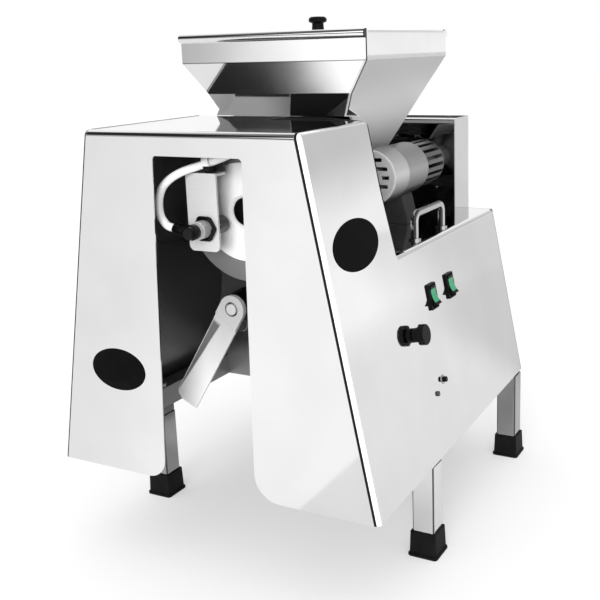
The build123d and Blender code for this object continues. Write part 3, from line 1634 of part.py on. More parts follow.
with BuildPart() as auger_pulley:
    with BuildSketch(auger_plane):
        with BuildLine():
            Polyline(
                (belt_b_y - pulley_hub_half, auger_shaft_r),
                (belt_b_y - pulley_hub_half, pulley_hub_r),
                (belt_b_y - belt_w / 2, pulley_hub_r),
                (belt_b_y - belt_w / 2, auger_pulley_r),
                (belt_b_y + belt_w / 2, auger_pulley_r),
                (belt_b_y + belt_w / 2, pulley_hub_r),
                (belt_b_y + pulley_hub_half, pulley_hub_r),
                (belt_b_y + pulley_hub_half, auger_shaft_r),
                close=True,
            )
        make_face()
    revolve(axis=auger_axis)
    with BuildSketch(facing(0, belt_b_y, auger_z)):
        with PolarLocations(auger_hole_pcd_r, pulley_holes):
            Circle(auger_hole_r)
    extrude(amount=belt_w, both=True, mode=Mode.SUBTRACT)
auger_pulley.part.label = "auger_pulley"
export_step(auger_pulley.part, "parts/auger_pulley.step")

with BuildPart() as motor_belt:
    with BuildSketch(along_y(belt_a_y - belt_w / 2)):
        with Locations((motor_x, motor_z)):
            Circle(motor_pulley_r + belt_gap + belt_t)
        with Locations((idler_x, idler_z)):
            Circle(idler_big_r + belt_gap + belt_t)
        make_hull()
    extrude(amount=-belt_w)
    with BuildSketch(along_y(belt_a_y - belt_w / 2)):
        with Locations((motor_x, motor_z)):
            Circle(motor_pulley_r + belt_gap)
        with Locations((idler_x, idler_z)):
            Circle(idler_big_r + belt_gap)
        make_hull()
    extrude(amount=-belt_w, mode=Mode.SUBTRACT)
motor_belt.part.label = "motor_belt"
export_step(motor_belt.part, "parts/motor_belt.step")

with BuildPart() as auger_belt:
    with BuildSketch(along_y(belt_b_y - belt_w / 2)):
        with Locations((0, auger_z)):
            Circle(auger_pulley_r + belt_gap + belt_t)
        with Locations((idler_x, idler_z)):
            Circle(idler_small_r + belt_gap + belt_t)
        make_hull()
    extrude(amount=-belt_w)
    with BuildSketch(along_y(belt_b_y - belt_w / 2)):
        with Locations((0, auger_z)):
            Circle(auger_pulley_r + belt_gap)
        with Locations((idler_x, idler_z)):
            Circle(idler_small_r + belt_gap)
        make_hull()
    extrude(amount=-belt_w, mode=Mode.SUBTRACT)
auger_belt.part.label = "auger_belt"
export_step(auger_belt.part, "parts/auger_belt.step")

# Rocker switches: snap-in frame and rocker, one above each motor's circuit
for tag, y in (("auger", rocker_1_y), ("knife", rocker_2_y)):
    with BuildPart() as switch_frame:
        with BuildSketch(panel_plane(y, rocker_z)):
            RectangleRounded(bezel_w, bezel_h, bezel_corner_r)
        extrude(amount=bezel_t)
        with BuildSketch(panel_plane(y, rocker_z)):
            Rectangle(bezel_w - 2 * switch_lip, bezel_h - 2 * switch_lip + 0.6)
        extrude(amount=-switch_depth)
        with BuildSketch(panel_plane(y, rocker_z).offset(2 * bezel_t)):
            Rectangle(2 * rocker_half + 0.6, bezel_h - 3 * switch_lip)
        extrude(amount=-2 * bezel_t - rocker_well, mode=Mode.SUBTRACT)
        with BuildSketch(panel_section(y, rocker_z, pivot_depth)):
            Circle(pivot_r + run_fit)
        extrude(amount=rocker_half + 1.3, both=True, mode=Mode.SUBTRACT)
    switch_frame.part.label = tag + "_switch_frame"
    export_step(switch_frame.part, "parts/" + tag + "_switch_frame.step")

    with BuildPart() as rocker:
        with BuildSketch(panel_section(y, rocker_z, pivot_depth, -rocker_tilt)):
            with BuildLine():
                Polyline(
                    (-rocker_len, rocker_rise),
                    (-rocker_len + 0.4, -rocker_root),
                    (rocker_len - 0.4, -rocker_root),
                    (rocker_len, rocker_rise),
                )
                ThreePointArc((rocker_len, rocker_rise), (0, rocker_dip), (-rocker_len, rocker_rise))
            make_face()
        extrude(amount=rocker_half, both=True)
        with BuildSketch(panel_section(y, rocker_z, pivot_depth)):
            Circle(pivot_r)
        extrude(amount=rocker_half + 1, both=True)
    rocker.part.label = tag + "_rocker"
    export_step(rocker.part, "parts/" + tag + "_rocker.step")

# Knife speed knob with its stem, and the potentiometer behind the panel
with BuildPart() as speed_knob:
    with BuildSketch(panel_plane(knob_y, knob_z).offset(knob_gap)):
        Circle(knob_neck_r)
    extrude(amount=knob_neck_h)
    with BuildSketch(panel_plane(knob_y, knob_z).offset(knob_neck_h)):
        Circle(knob_r)
    extrude(amount=knob_h)
    outward = Axis((0, 0, 0), (1, 0, flare))
    chamfer(speed_knob.edges().group_by(outward)[-1], length=knob_chamfer)
    with BuildSketch(panel_plane(knob_y, knob_z).offset(knob_neck_h)):
        with PolarLocations(knob_r + knob_grip_out, knob_grips):
            Circle(knob_grip_r)
    extrude(amount=knob_h + 1, mode=Mode.SUBTRACT)
    with BuildSketch(panel_plane(knob_y, knob_z).offset(-knob_stem_len)):
        Circle(knob_stem_r)
    extrude(amount=knob_stem_len + 2)
speed_knob.part.label = "speed_knob"
export_step(speed_knob.part, "parts/speed_knob.step")

with BuildPart() as speed_pot:
    with BuildSketch(panel_plane(knob_y, knob_z).offset(-sheet)):
        Circle(pot_r)
    extrude(amount=-pot_depth)
    with BuildSketch(panel_plane(knob_y, knob_z).offset(-sheet)):
        Circle(pot_bush_r)
    extrude(amount=sheet + pot_bush_out)
    with BuildSketch(panel_plane(knob_y, knob_z).offset(sheet)):
        Circle(knob_stem_r + run_fit)
    extrude(amount=-sheet - knob_stem_len - 0.5, mode=Mode.SUBTRACT)
speed_pot.part.label = "speed_pot"
export_step(speed_pot.part, "parts/speed_pot.step")

# Overload breaker with its captive reset button
with BuildPart() as breaker:
    with BuildSketch(panel_plane(reset_y, reset_z).offset(-sheet)):
        Rectangle(breaker_w, breaker_h)
    extrude(amount=-breaker_h)
    with BuildSketch(panel_plane(reset_y, reset_z).offset(-sheet)):
        Circle(breaker_bush_r)
    extrude(amount=sheet)
    with BuildSketch(panel_plane(reset_y, reset_z)):
        Circle(breaker_collar_r)
    extrude(amount=breaker_collar_t)
    with BuildSketch(panel_plane(reset_y, reset_z).offset(reset_travel)):
        Circle(reset_r + run_fit)
    extrude(amount=-reset_travel - reset_depth, mode=Mode.SUBTRACT)
    with BuildSketch(panel_plane(reset_y, reset_z).offset(reset_flange_t - reset_depth + 0.4)):
        Circle(reset_r + reset_flange + 0.4)
    extrude(amount=-reset_flange_t - reset_travel - 2.4, mode=Mode.SUBTRACT)
breaker.part.label = "breaker"
export_step(breaker.part, "parts/breaker.step")

with BuildPart() as reset_button:
    with BuildSketch(panel_plane(reset_y, reset_z).offset(-reset_depth)):
        Circle(reset_r + reset_flange)
    extrude(amount=reset_flange_t)
    with BuildSketch(panel_plane(reset_y, reset_z).offset(-reset_depth)):
        Circle(reset_r)
    extrude(amount=reset_depth + reset_out)
reset_button.part.label = "reset_button"
export_step(reset_button.part, "parts/reset_button.step")

# Bent-rod carrying handles on both sides of the deck
for name, side in (("handle_right", 1), ("handle_left", -1)):
    with BuildPart() as handle:
        with BuildLine() as rod:
            FilletPolyline(
                (side * handle_x, handle_y0, deck_z),
                (side * handle_x, handle_y0, deck_z + handle_h),
                (side * handle_x, handle_y1, deck_z + handle_h),
                (side * handle_x, handle_y1, deck_z),
                radius=handle_bend_r,
            )
        with BuildSketch(Plane.XY.offset(deck_z)):
            with Locations((side * handle_x, handle_y0)):
                Circle(handle_r)
        sweep(path=rod.line)
        with BuildSketch(Plane.XY.offset(deck_z)):
            with Locations((side * handle_x, handle_y0), (side * handle_x, handle_y1)):
                Circle(handle_r + handle_washer)
        extrude(amount=handle_washer_t)
    handle.part.label = name
    export_step(handle.part, "parts/" + name + ".step")

# Plain blank oval badges
with BuildPart() as front_badge:
    with BuildSketch(along_y(front_y)):
        with Locations((front_badge_x, front_badge_z)):
            Ellipse(front_badge_w / 2, front_badge_h / 2)
    extrude(amount=badge_t)
front_badge.part.label = "front_badge"
export_step(front_badge.part, "parts/front_badge.step")

with BuildPart() as side_badge:
    with BuildSketch(panel_plane(side_badge_y, side_badge_z)):
        Ellipse(side_badge_w / 2, side_badge_h / 2)
    extrude(amount=badge_t)
side_badge.part.label = "side_badge"
export_step(side_badge.part, "parts/side_badge.step")
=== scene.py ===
import json
from math import cos, pi, radians, sin

import bpy
from mathutils import Matrix, Vector

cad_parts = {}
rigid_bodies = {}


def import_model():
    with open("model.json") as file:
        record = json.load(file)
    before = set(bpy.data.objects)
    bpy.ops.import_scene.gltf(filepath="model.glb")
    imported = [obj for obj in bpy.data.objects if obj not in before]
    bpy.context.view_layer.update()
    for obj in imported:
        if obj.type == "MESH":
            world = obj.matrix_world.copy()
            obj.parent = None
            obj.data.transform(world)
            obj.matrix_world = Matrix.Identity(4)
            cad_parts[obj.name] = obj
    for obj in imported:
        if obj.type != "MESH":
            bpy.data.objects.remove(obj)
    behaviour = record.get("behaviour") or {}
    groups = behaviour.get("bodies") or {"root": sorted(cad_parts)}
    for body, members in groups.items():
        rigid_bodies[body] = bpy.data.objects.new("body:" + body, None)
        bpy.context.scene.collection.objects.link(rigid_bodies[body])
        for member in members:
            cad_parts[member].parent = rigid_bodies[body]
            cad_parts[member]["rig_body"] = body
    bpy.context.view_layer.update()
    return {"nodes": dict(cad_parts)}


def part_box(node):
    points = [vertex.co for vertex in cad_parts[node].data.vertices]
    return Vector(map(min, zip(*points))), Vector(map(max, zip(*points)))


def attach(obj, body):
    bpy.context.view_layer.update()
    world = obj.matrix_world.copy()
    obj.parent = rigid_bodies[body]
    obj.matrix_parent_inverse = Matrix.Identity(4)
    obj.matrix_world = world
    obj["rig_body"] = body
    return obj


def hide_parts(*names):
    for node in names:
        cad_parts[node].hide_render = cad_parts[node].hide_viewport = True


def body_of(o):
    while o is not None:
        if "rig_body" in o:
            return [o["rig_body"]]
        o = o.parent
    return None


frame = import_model()
nodes = frame["nodes"]

# Camera
camera_place = Vector((0.53313, -0.93549, 0.5310))
camera_right = Vector((0.89145, 0.45229, -0.02755))
camera_up = Vector((-0.07708, 0.21126, 0.97439))
camera_lens = 55.838
camera_shift = (-0.1, -0.0667)

# Casing
shell_half = 0.12265
shell_middle = -0.00335
shell_flare = 0.1932
deck_top = 0.3236
hood_end = -0.1015
hood_sheet = 0.01
bend_r = 0.006
skin = 0.001
fade = 0.0004
left_reflection_at = 0.0045
right_reflection_at = 0.0034
cut_line_at = -0.0017
notch_y = -0.1086
notch_z = 0.3937
notch_lean = 0.097
hem_x = -0.1203
hem_back = -0.06
hem_width = 0.0008
hem_height = 0.001

# Hopper
slope_foot = 0.0308
slope_run = 0.72
hopper_front = -0.0933
band_low = 0.5182
first_lean = 0.352
second_low = 0.4847
second_lean = 0.537
corner_reflection_low = 0.46
underside_top = 0.4662
underside_front = -0.0575

# Sensor
cap_from = -0.182
plate_top = 0.4139
thread_pitch = 0.001
strap_height = 0.0095

# Knife
knife_x = -0.0166
knife_z = 0.2674
knife_turn = radians(32)
blade_half = 0.015
bevel_from = -0.023
bevel_width = 0.0132
bevel_taper = 0.095
stud_ring = 0.0000624

# Legs and handles
leg_flat = 0.0106
handle_x = 0.13
streak_half = 0.0028

# Switches
rocker_out = Vector((1.0, 0.0, shell_flare)).normalized()
lens_low = 0.2598
lens_high = 0.2756
lens_narrow = 0.86
lens_thick = 0.0008
facet_area = 0.000004

# Studio
floor_size = 30.0
floor_tone = 0.55
floor_lift = 0.42
ambient = 0.55
merge_gap = 0.00001


class Socket:
    """One output in a node tree. Arithmetic on it adds Math nodes."""

    def __init__(self, tree, output):
        self.tree = tree
        self.output = output

    def node(self, kind, settings, sockets, out=0):
        """Adds a node, sets it up, fills its sockets and gives one of its outputs."""
        made = self.tree.nodes.new("ShaderNode" + kind)
        for key, value in settings.items():
            setattr(made, key, value)
        for key, value in sockets.items():
            if isinstance(value, Socket):
                self.tree.links.new(value.output, made.inputs[key])
            else:
                made.inputs[key].default_value = value
        return Socket(self.tree, made.outputs[out])

    def math(self, operation, *values):
        return self.node("Math", {"operation": operation}, dict(enumerate(values)))

    def __add__(self, other):
        return self.math("ADD", self, other)

    def __radd__(self, other):
        return self.math("ADD", other, self)

    def __sub__(self, other):
        return self.math("SUBTRACT", self, other)

    def __rsub__(self, other):
        return self.math("SUBTRACT", other, self)

    def __mul__(self, other):
        return self.math("MULTIPLY", self, other)

    def __rmul__(self, other):
        return self.math("MULTIPLY", other, self)

    def __truediv__(self, other):
        return self.math("DIVIDE", self, other)

    def __abs__(self):
        return self.math("ABSOLUTE", self)

    def most(self, other):
        return self.math("MAXIMUM", self, other)

    def step(self, low, high):
        """A soft step from 0 at low to 1 at high."""
        settings = {"interpolation_type": "SMOOTHSTEP"}
        if low < high:
            return self.node("MapRange", settings, {"Value": self, "From Min": low, "From Max": high})
        sockets = {"Value": self, "From Min": high, "From Max": low, "To Min": 1.0, "To Max": 0.0}
        return self.node("MapRange", settings, sockets)

    def swing(self, low, high):
        """A soft step between two angles in degrees."""
        return self.step(radians(low), radians(high))

    def span(self, start, full, fading, end):
        """1 from full to fading, 0 before start and after end, all in degrees."""
        return self.swing(start, full) * self.swing(end, fading)

    def mix(self, first, second):
        """The first colour where this value is 0, the second where it is 1."""
        return self.node("Mix", {"data_type": "RGBA"}, {0: self, 6: first, 7: second}, 2)

    def between(self, first, second):
        """The first value where this one is 0, the second where it is 1."""
        return self.node("Mix", {}, {0: self, 2: first, 3: second})

    def scaled(self, x, y, z):
        return self.node("Mapping", {}, {"Vector": self, "Scale": (x, y, z)})

    def noise(self, scale, detail=2.0):
        return self.node("TexNoise", {}, {"Vector": self, "Scale": scale, "Detail": detail})

    def axes(self):
        made = self.node("SeparateXYZ", {}, {0: self})
        return [Socket(self.tree, output) for output in made.output.node.outputs]


def grey(value):
    return (value, value, value, 1.0)


class Finish:
    """A material on Object coordinates, with its shader's constant sockets set."""

    def __init__(self, name, constants):
        self.material = bpy.data.materials.new(name)
        self.material.use_nodes = True
        self.tree = self.material.node_tree
        self.shader = self.tree.nodes["Principled BSDF"]
        for key, value in constants.items():
            self.shader.inputs[key].default_value = value
        self.place = Socket(self.tree, self.tree.nodes.new("ShaderNodeTexCoord").outputs["Object"])

    def link(self, key, value):
        self.tree.links.new(value.output, self.shader.inputs[key])

    def bump(self, height, distance, strength=1.0):
        sockets = {"Height": height, "Distance": distance, "Strength": strength}
        self.link("Normal", self.place.node("Bump", {}, sockets))


def polished_sheet(name, low, high, rough):
    """Mirror-polished steel sheet, faintly wavy, with soft smears."""
    finish = Finish(name, {"Metallic": 1.0})
    smear = finish.place.noise(14.0, 4.0)
    lines = finish.place.scaled(30.0, 30.0, 900.0).noise(1.0, 2.0)
    finish.link("Base Color", smear.step(0.3, 0.7).mix(grey(low), grey(high)))
    finish.link("Roughness", rough + 0.03 * smear.step(0.45, 0.75) + 0.02 * lines)
    finish.bump(finish.place.noise(7.0, 1.0), 0.0008)
    return finish.material


def shell_sheet():
    """The casing's sheet: mirror-polished outside and dull inside, with painted dark reflection lines and a
    painted highlight strip on the front bends, a dark line along the notch's cut edge, and painted shade on
    the inside faces.
    """
    finish = Finish("casing sheet", {"Specular IOR Level": 0.05})
    x, y, z = finish.place.axes()
    low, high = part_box("body_shell")
    from_side = shell_half + shell_flare * (high.z - z) - abs(x - shell_middle)
    from_front = y - low.y
    hood = y.step(hood_end + skin, hood_end)
    hood = hood.most(z.step(high.z - hood_sheet, high.z - hood_sheet + skin))
    from_top = hood.between(deck_top, high.z) - z
    reach = 0.0
    for depth in (from_side, from_front, from_top):
        short = (bend_r - depth).most(0.0)
        reach = short * short + reach
    depth = bend_r - reach.math("SQRT", reach)
    inside = depth.math("GREATER_THAN", depth, skin)
    smear = finish.place.noise(14.0, 4.0)
    lines = finish.place.scaled(30.0, 30.0, 900.0).noise(1.0, 2.0)
    outer = smear.step(0.3, 0.7).mix(grey(0.86), grey(0.9))
    arc = from_front.step(bend_r, bend_r - fade) * from_side.step(bend_r, bend_r - fade)
    right = x.step(0.0, skin)
    # Painted dark reflections: a thin dark line along the left and the right front bends
    left_bend_reflection = arc * (1.0 - right) * from_side.step(left_reflection_at + fade, left_reflection_at)
    right_bend_reflection = arc * right * from_side.step(right_reflection_at - fade, right_reflection_at)
    notch = (notch_y + notch_lean * (notch_z - z)).most(notch_y)
    cut = (y - notch).step(cut_line_at - fade, cut_line_at) * right * hood * z.step(deck_top, deck_top + skin)
    dark = left_bend_reflection.most(right_bend_reflection).most(cut)
    # Painted highlight: a pale strip on the right front bend
    painted_bend_highlight = arc * right * (1.0 - right_bend_reflection) * from_front.step(bend_r, 0.6 * bend_r)
    outer = dark.mix(painted_bend_highlight.mix(outer, grey(0.98)), grey(0.01))
    bright = 0.05 + 0.03 * smear.step(0.45, 0.75) + 0.02 * lines
    dull = dark.most(painted_bend_highlight)
    # Painted shade: the inside faces toned down to grey 0.2; their dull roughness is the sheet's own
    finish.link("Base Color", inside.mix(outer, grey(0.2)))
    finish.link("Metallic", 1.0 - dull)
    finish.link("Roughness", inside.between(dull.between(bright, 0.7), 0.32))
    finish.bump(finish.place.noise(7.0, 1.0), 0.0008)
    return finish.material


def hopper_sheet():
    """The hopper's sheet: mirror-polished in front and satin on the right slope, with painted dark
    reflections on the front right corner, the crease and the low part of the front, and a slope painted paler
    towards its foot.
    """
    finish = Finish("hopper sheet", {})
    x, y, z = finish.place.axes()
    low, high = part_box("hopper")
    from_slope = x - slope_foot - slope_run * (z - low.z)
    slope = from_slope.step(-0.004, -0.002)
    band = z.step(band_low, band_low + 0.0002)
    right = band.between(slope_foot + slope_run * (z - low.z), high.x)
    first = hopper_front + first_lean * (band_low - z)
    second = first + second_lean * (second_low - z)
    front = band.between(first.most(second), hopper_front)
    near_front = (y - front).step(skin + fade, skin)
    # Painted dark reflections: a line down the front right corner and one along the crease at the band's foot
    corner_reflection = (right - x).step(skin, 0.7 * skin) * near_front * z.step(corner_reflection_low, corner_reflection_low + 2 * skin)
    crease = abs(z - band_low).step(0.7 * skin, fade) * near_front
    # Painted dark reflection over the low part of the front
    underside = z.step(underside_top + fade, underside_top)
    underside = underside * y.step(underside_front - skin, underside_front) * (1.0 - slope)
    smear = finish.place.noise(14.0, 4.0)
    bright = smear.step(0.3, 0.7).mix(grey(0.86), grey(0.9))
    # Painted shading: the right slope paler towards its foot and darker up high
    satin = z.step(0.45, 0.512).mix(grey(0.98), grey(0.64))
    tone = slope.mix(bright, satin)
    dark = corner_reflection.most(0.7 * crease).most(0.9 * underside)
    finish.link("Base Color", dark.mix(tone, grey(0.04)))
    finish.link("Metallic", slope.between(1.0, 0.3))
    finish.link("Roughness", slope.between(0.05 + 0.03 * smear.step(0.45, 0.75), 0.4))
    finish.bump(finish.place.noise(7.0, 1.0), 0.0008)
    return finish.material


def column_sheet():
    """The column's sheet: a front wall painted dark for the dark reflections it shows, between bright sides.
    """
    finish = Finish("column sheet", {"Metallic": 1.0})
    x, y, z = finish.place.axes()
    low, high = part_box("column_housing")
    front = y.step(low.y + 2 * skin, low.y + skin)
    smear = finish.place.noise(14.0, 4.0)
    bright = smear.step(0.3, 0.7).mix(grey(0.86), grey(0.9))
    # Painted dark reflection: the front wall toned down to grey 0.26
    finish.link("Base Color", front.mix(bright, grey(0.26)))
    finish.link("Roughness", 0.05 + 0.03 * smear.step(0.45, 0.75))
    finish.bump(finish.place.noise(7.0, 1.0), 0.0008)
    return finish.material


def satin_metal(name, low, high, rough, across, metal=1.0):
    """Ground metal with fine lines, stretched along the short entry of across."""
    finish = Finish(name, {"Metallic": metal})
    lines = finish.place.scaled(*across).noise(1.0, 3.0)
    smear = finish.place.noise(25.0, 3.0)
    finish.link("Base Color", lines.mix(grey(low), grey(high)))
    finish.link("Roughness", rough + 0.12 * lines + 0.06 * smear)
    finish.bump(lines, 0.00003)
    return finish.material


def leg_metal(name, low_tone, high_tone):
    """Polished square tube with a painted dark reflection streak down its rounded corners."""
    finish = Finish(name + " tube", {"Metallic": 1.0})
    x, y, z = finish.place.axes()
    low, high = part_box(name)
    middle = (low + high) / 2
    ends = leg_flat, leg_flat + 0.6 * skin
    # Painted reflection: a dark streak down each rounded corner
    corner = abs(x - middle.x).step(*ends) * abs(y - middle.y).step(*ends)
    smear = finish.place.noise(14.0, 4.0)
    tone = smear.step(0.3, 0.7).mix(grey(low_tone), grey(high_tone))
    finish.link("Base Color", corner.mix(tone, grey(0.1)))
    finish.link("Roughness", 0.12 + 0.03 * smear.step(0.45, 0.75))
    finish.bump(finish.place.noise(7.0, 1.0), 0.0008)
    return finish.material


def rod_metal():
    """Polished rod with a painted reflection: a dark streak between bright edges."""
    finish = Finish("bright rod", {"Metallic": 1.0})
    x, y, z = finish.place.axes()
    off = abs(x) - handle_x
    # Painted reflection: a dark streak down the rod between its bright edges
    core = off.step(-0.2 * skin, 0.6 * skin) * off.step(streak_half + 0.8 * skin, streak_half)
    smear = finish.place.noise(40.0, 3.0)
    finish.link("Base Color", core.mix(smear.mix(grey(0.62), grey(0.72)), grey(0.07)))
    finish.link("Roughness", 0.05 + 0.04 * smear)
    finish.bump(finish.place.noise(30.0, 1.0), 0.0002)
    return finish.material


def frame_metal():
    """Dull frame bars, plates and bolts inside, with painted shade: dark higher up inside the casing, paler
    near the ground.
    """
    finish = Finish("dull sheet", {"Metallic": 0.6})
    x, y, z = finish.place.axes()
    lines = finish.place.scaled(40.0, 40.0, 900.0).noise(1.0, 3.0)
    # Painted shade: dark tones up inside the casing, paler ones near the ground
    upper = lines.mix(grey(0.09), grey(0.13))
    lower = lines.mix(grey(0.3), grey(0.36))
    finish.link("Base Color", z.step(0.165, 0.14).mix(upper, lower))
    finish.link("Roughness", 0.34 + 0.12 * lines)
    finish.bump(lines, 0.00003)
    return finish.material


def bracket_metal():
    """Satin sensor plate, painted near black as shade where it is bent back at the top."""
    finish = Finish("satin plate", {"Metallic": 0.3})
    x, y, z = finish.place.axes()
    # Painted shade: the bent-back top of the plate is near black
    top = z.step(plate_top - 0.0005, plate_top + 0.0005)
    lines = finish.place.scaled(40.0, 40.0, 1600.0).noise(1.0, 3.0)
    finish.link("Base Color", top.mix(lines.mix(grey(0.66), grey(0.74)), grey(0.03)))
    finish.link("Roughness", 0.4 + 0.12 * lines + 0.06 * finish.place.noise(25.0, 3.0))
    finish.bump(lines, 0.00003)
    return finish.material


def blade_metal():
    """Ground knife steel with painted shading: paler towards the tip, the bevel along the cutting edge
    darkened as shade, and a near black disc of shade round the pivot.
    """
    finish = Finish("ground blade", {"Metallic": 0.15})
    x, y, z = finish.place.axes()
    across = (x - knife_x) * cos(knife_turn) - (z - knife_z) * sin(knife_turn)
    along = (x - knife_x) * sin(knife_turn) + (z - knife_z) * cos(knife_turn)
    from_edge = across + blade_half
    inner = from_edge - bevel_width - bevel_taper * along
    bevel = inner.step(2 * fade, -2 * fade) * from_edge.step(fade, 3 * fade)
    bevel = bevel * along.step(bevel_from, bevel_from - 0.006)
    lines = finish.place.scaled(900.0, 60.0, 60.0).noise(1.0, 3.0)
    tip = lines.mix(grey(0.92), grey(0.98))
    root = lines.mix(grey(0.42), grey(0.48))
    # Painted light: paler towards the tip, darker towards the root
    ground = along.step(-0.13, 0.02).mix(tip, root)
    # Painted shade: the bevel along the cutting edge darkened
    ground = bevel.mix(ground, lines.mix(grey(0.13), grey(0.17)))
    # Painted shade: a near black disc round the pivot, where the stud's hole lies in shade
    ring = (across * across + along * along).step(stud_ring, 0.96 * stud_ring)
    finish.link("Base Color", ring.mix(ground, grey(0.02)))
    finish.link("Roughness", 0.36 + 0.12 * lines)
    finish.bump(lines, 0.00003)
    return finish.material


def drum_metal(name, low, high, rough):
    """Turned steel of the motor with painted shading, paler along its middle and darker towards its top and
    bottom, and with a dull slotted front.
    """
    finish = Finish(name, {})
    x, y, z = finish.place.axes()
    near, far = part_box("motor_front_shield")
    front = y.step(near.y + 2 * skin, near.y + skin)
    lines = finish.place.scaled(60.0, 1600.0, 60.0).noise(1.0, 3.0)
    # Painted shading across the drum: dark at its top and bottom, pale along its middle
    across = (z - (0.4 * near.z + 0.6 * far.z)) / (far.z - near.z)
    middle = abs(across).step(0.45, 0.05)
    tone = middle.mix(grey(0.3 * low), lines.mix(grey(low), grey(high)))
    finish.link("Base Color", front.mix(tone, lines.mix(grey(0.5), grey(0.6))))
    finish.link("Metallic", front.between(0.8, 0.2))
    finish.link("Roughness", rough + 0.12 * lines + 0.2 * front)
    finish.bump(lines, 0.00003)
    return finish.material


def sensor_metal():
    """Plated sensor barrel with its thread, and the grey plastic face at its inner end."""
    finish = Finish("sensor barrel", {})
    x, y, z = finish.place.axes()
    cap = y.step(cap_from, cap_from + skin)
    smear = finish.place.noise(60.0, 3.0)
    turns = y * (2.0 * pi / thread_pitch)
    thread = turns.math("SINE", turns)
    finish.link("Base Color", cap.mix(smear.mix(grey(0.62), grey(0.74)), grey(0.09)))
    finish.link("Metallic", cap.between(0.5, 0.0))
    finish.link("Roughness", 0.28 + 0.12 * smear)
    finish.bump(thread, 0.00012)
    return finish.material


def cast_metal(name, low, high, rough, metal=1.0):
    """Fine-grained cast metal."""
    finish = Finish(name, {"Metallic": metal})
    grain = finish.place.noise(1500.0, 3.0)
    cloud = finish.place.noise(40.0, 3.0)
    finish.link("Base Color", cloud.step(0.3, 0.7).mix(grey(low), grey(high)))
    finish.link("Roughness", rough + 0.1 * cloud)
    finish.bump(grain, 0.00006)
    return finish.material


def clip_plastic():
    """The lead's clip: a white strap over a black base."""
    finish = Finish("clip plastic", {"Specular IOR Level": 0.2})
    x, y, z = finish.place.axes()
    low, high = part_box("lead_clip")
    strap = z.step(high.z - strap_height - skin, high.z - strap_height)
    spots = finish.place.noise(60.0, 4.0)
    finish.link("Base Color", strap.mix(grey(0.004), spots.mix(grey(0.86), grey(0.92))))
    finish.link("Roughness", 0.3 + 0.1 * spots)
    finish.bump(finish.place.noise(900.0, 2.0), 0.00004)
    return finish.material


def moulded(name, low, high, rough, grain=900.0, depth=0.00004, shine=0.5):
    """Moulded plastic or rubber with a fine grain and a few rubbed spots."""
    finish = Finish(name, {"Specular IOR Level": shine})
    spots = finish.place.noise(60.0, 4.0)
    finish.link("Base Color", spots.step(0.35, 0.75).mix(low, high))
    finish.link("Roughness", rough + 0.12 * spots)
    finish.bump(finish.place.noise(grain, 2.0), depth)
    return finish.material


def add_camera():
    data = bpy.data.cameras.new("camera")
    data.lens = camera_lens
    data.shift_x, data.shift_y = camera_shift
    camera = bpy.data.objects.new("camera", data)
    bpy.context.scene.collection.objects.link(camera)
    back = camera_right.cross(camera_up)
    camera.location = camera_place
    camera.rotation_euler = Matrix((camera_right, camera_up, back)).transposed().to_euler()
    bpy.context.scene.camera = camera


def add_floor():
    """Pale floor with the object's shadow: white to the camera, a little uneven in the steel."""
    bpy.ops.object.select_all(action="DESELECT")
    bpy.ops.mesh.primitive_plane_add(size=floor_size)
    floor = bpy.context.object
    floor.name = "floor"
    material = bpy.data.materials.new("floor")
    material.use_nodes = True
    tree = material.node_tree
    shader = tree.nodes["Principled BSDF"]
    shader.inputs["Base Color"].default_value = grey(floor_tone)
    shader.inputs["Roughness"].default_value = 0.9
    shader.inputs["Specular IOR Level"].default_value = 0.0
    shader.inputs["Emission Color"].default_value = grey(1.0)
    x, y, z = Socket(tree, tree.nodes.new("ShaderNodeTexCoord").outputs["Object"]).axes()
    turn = x.math("ARCTAN2", x, y)
    # Painted into the floor's glow that the steel shows: darker wedges to the front left and back right, and
    # painted shadow near the object on its right
    front_left = turn.span(-156, -138, -100, -60)
    back_right = turn.span(-15, 5, 25, 35)
    rays = tree.nodes.new("ShaderNodeLightPath")
    camera_ray = Socket(tree, rays.outputs["Is Camera Ray"])
    glossy_ray = Socket(tree, rays.outputs["Is Glossy Ray"])
    near = turn.swing(0, 20) * (x * x + y * y).step(9.0, 1.5)
    in_steel = 0.36 - 0.17 * front_left - 0.33 * back_right - 0.18 * near
    lift = camera_ray * floor_lift + glossy_ray * in_steel.most(0.0)
    tree.links.new(lift.output, shader.inputs["Emission Strength"])
    floor.data.materials.append(material)


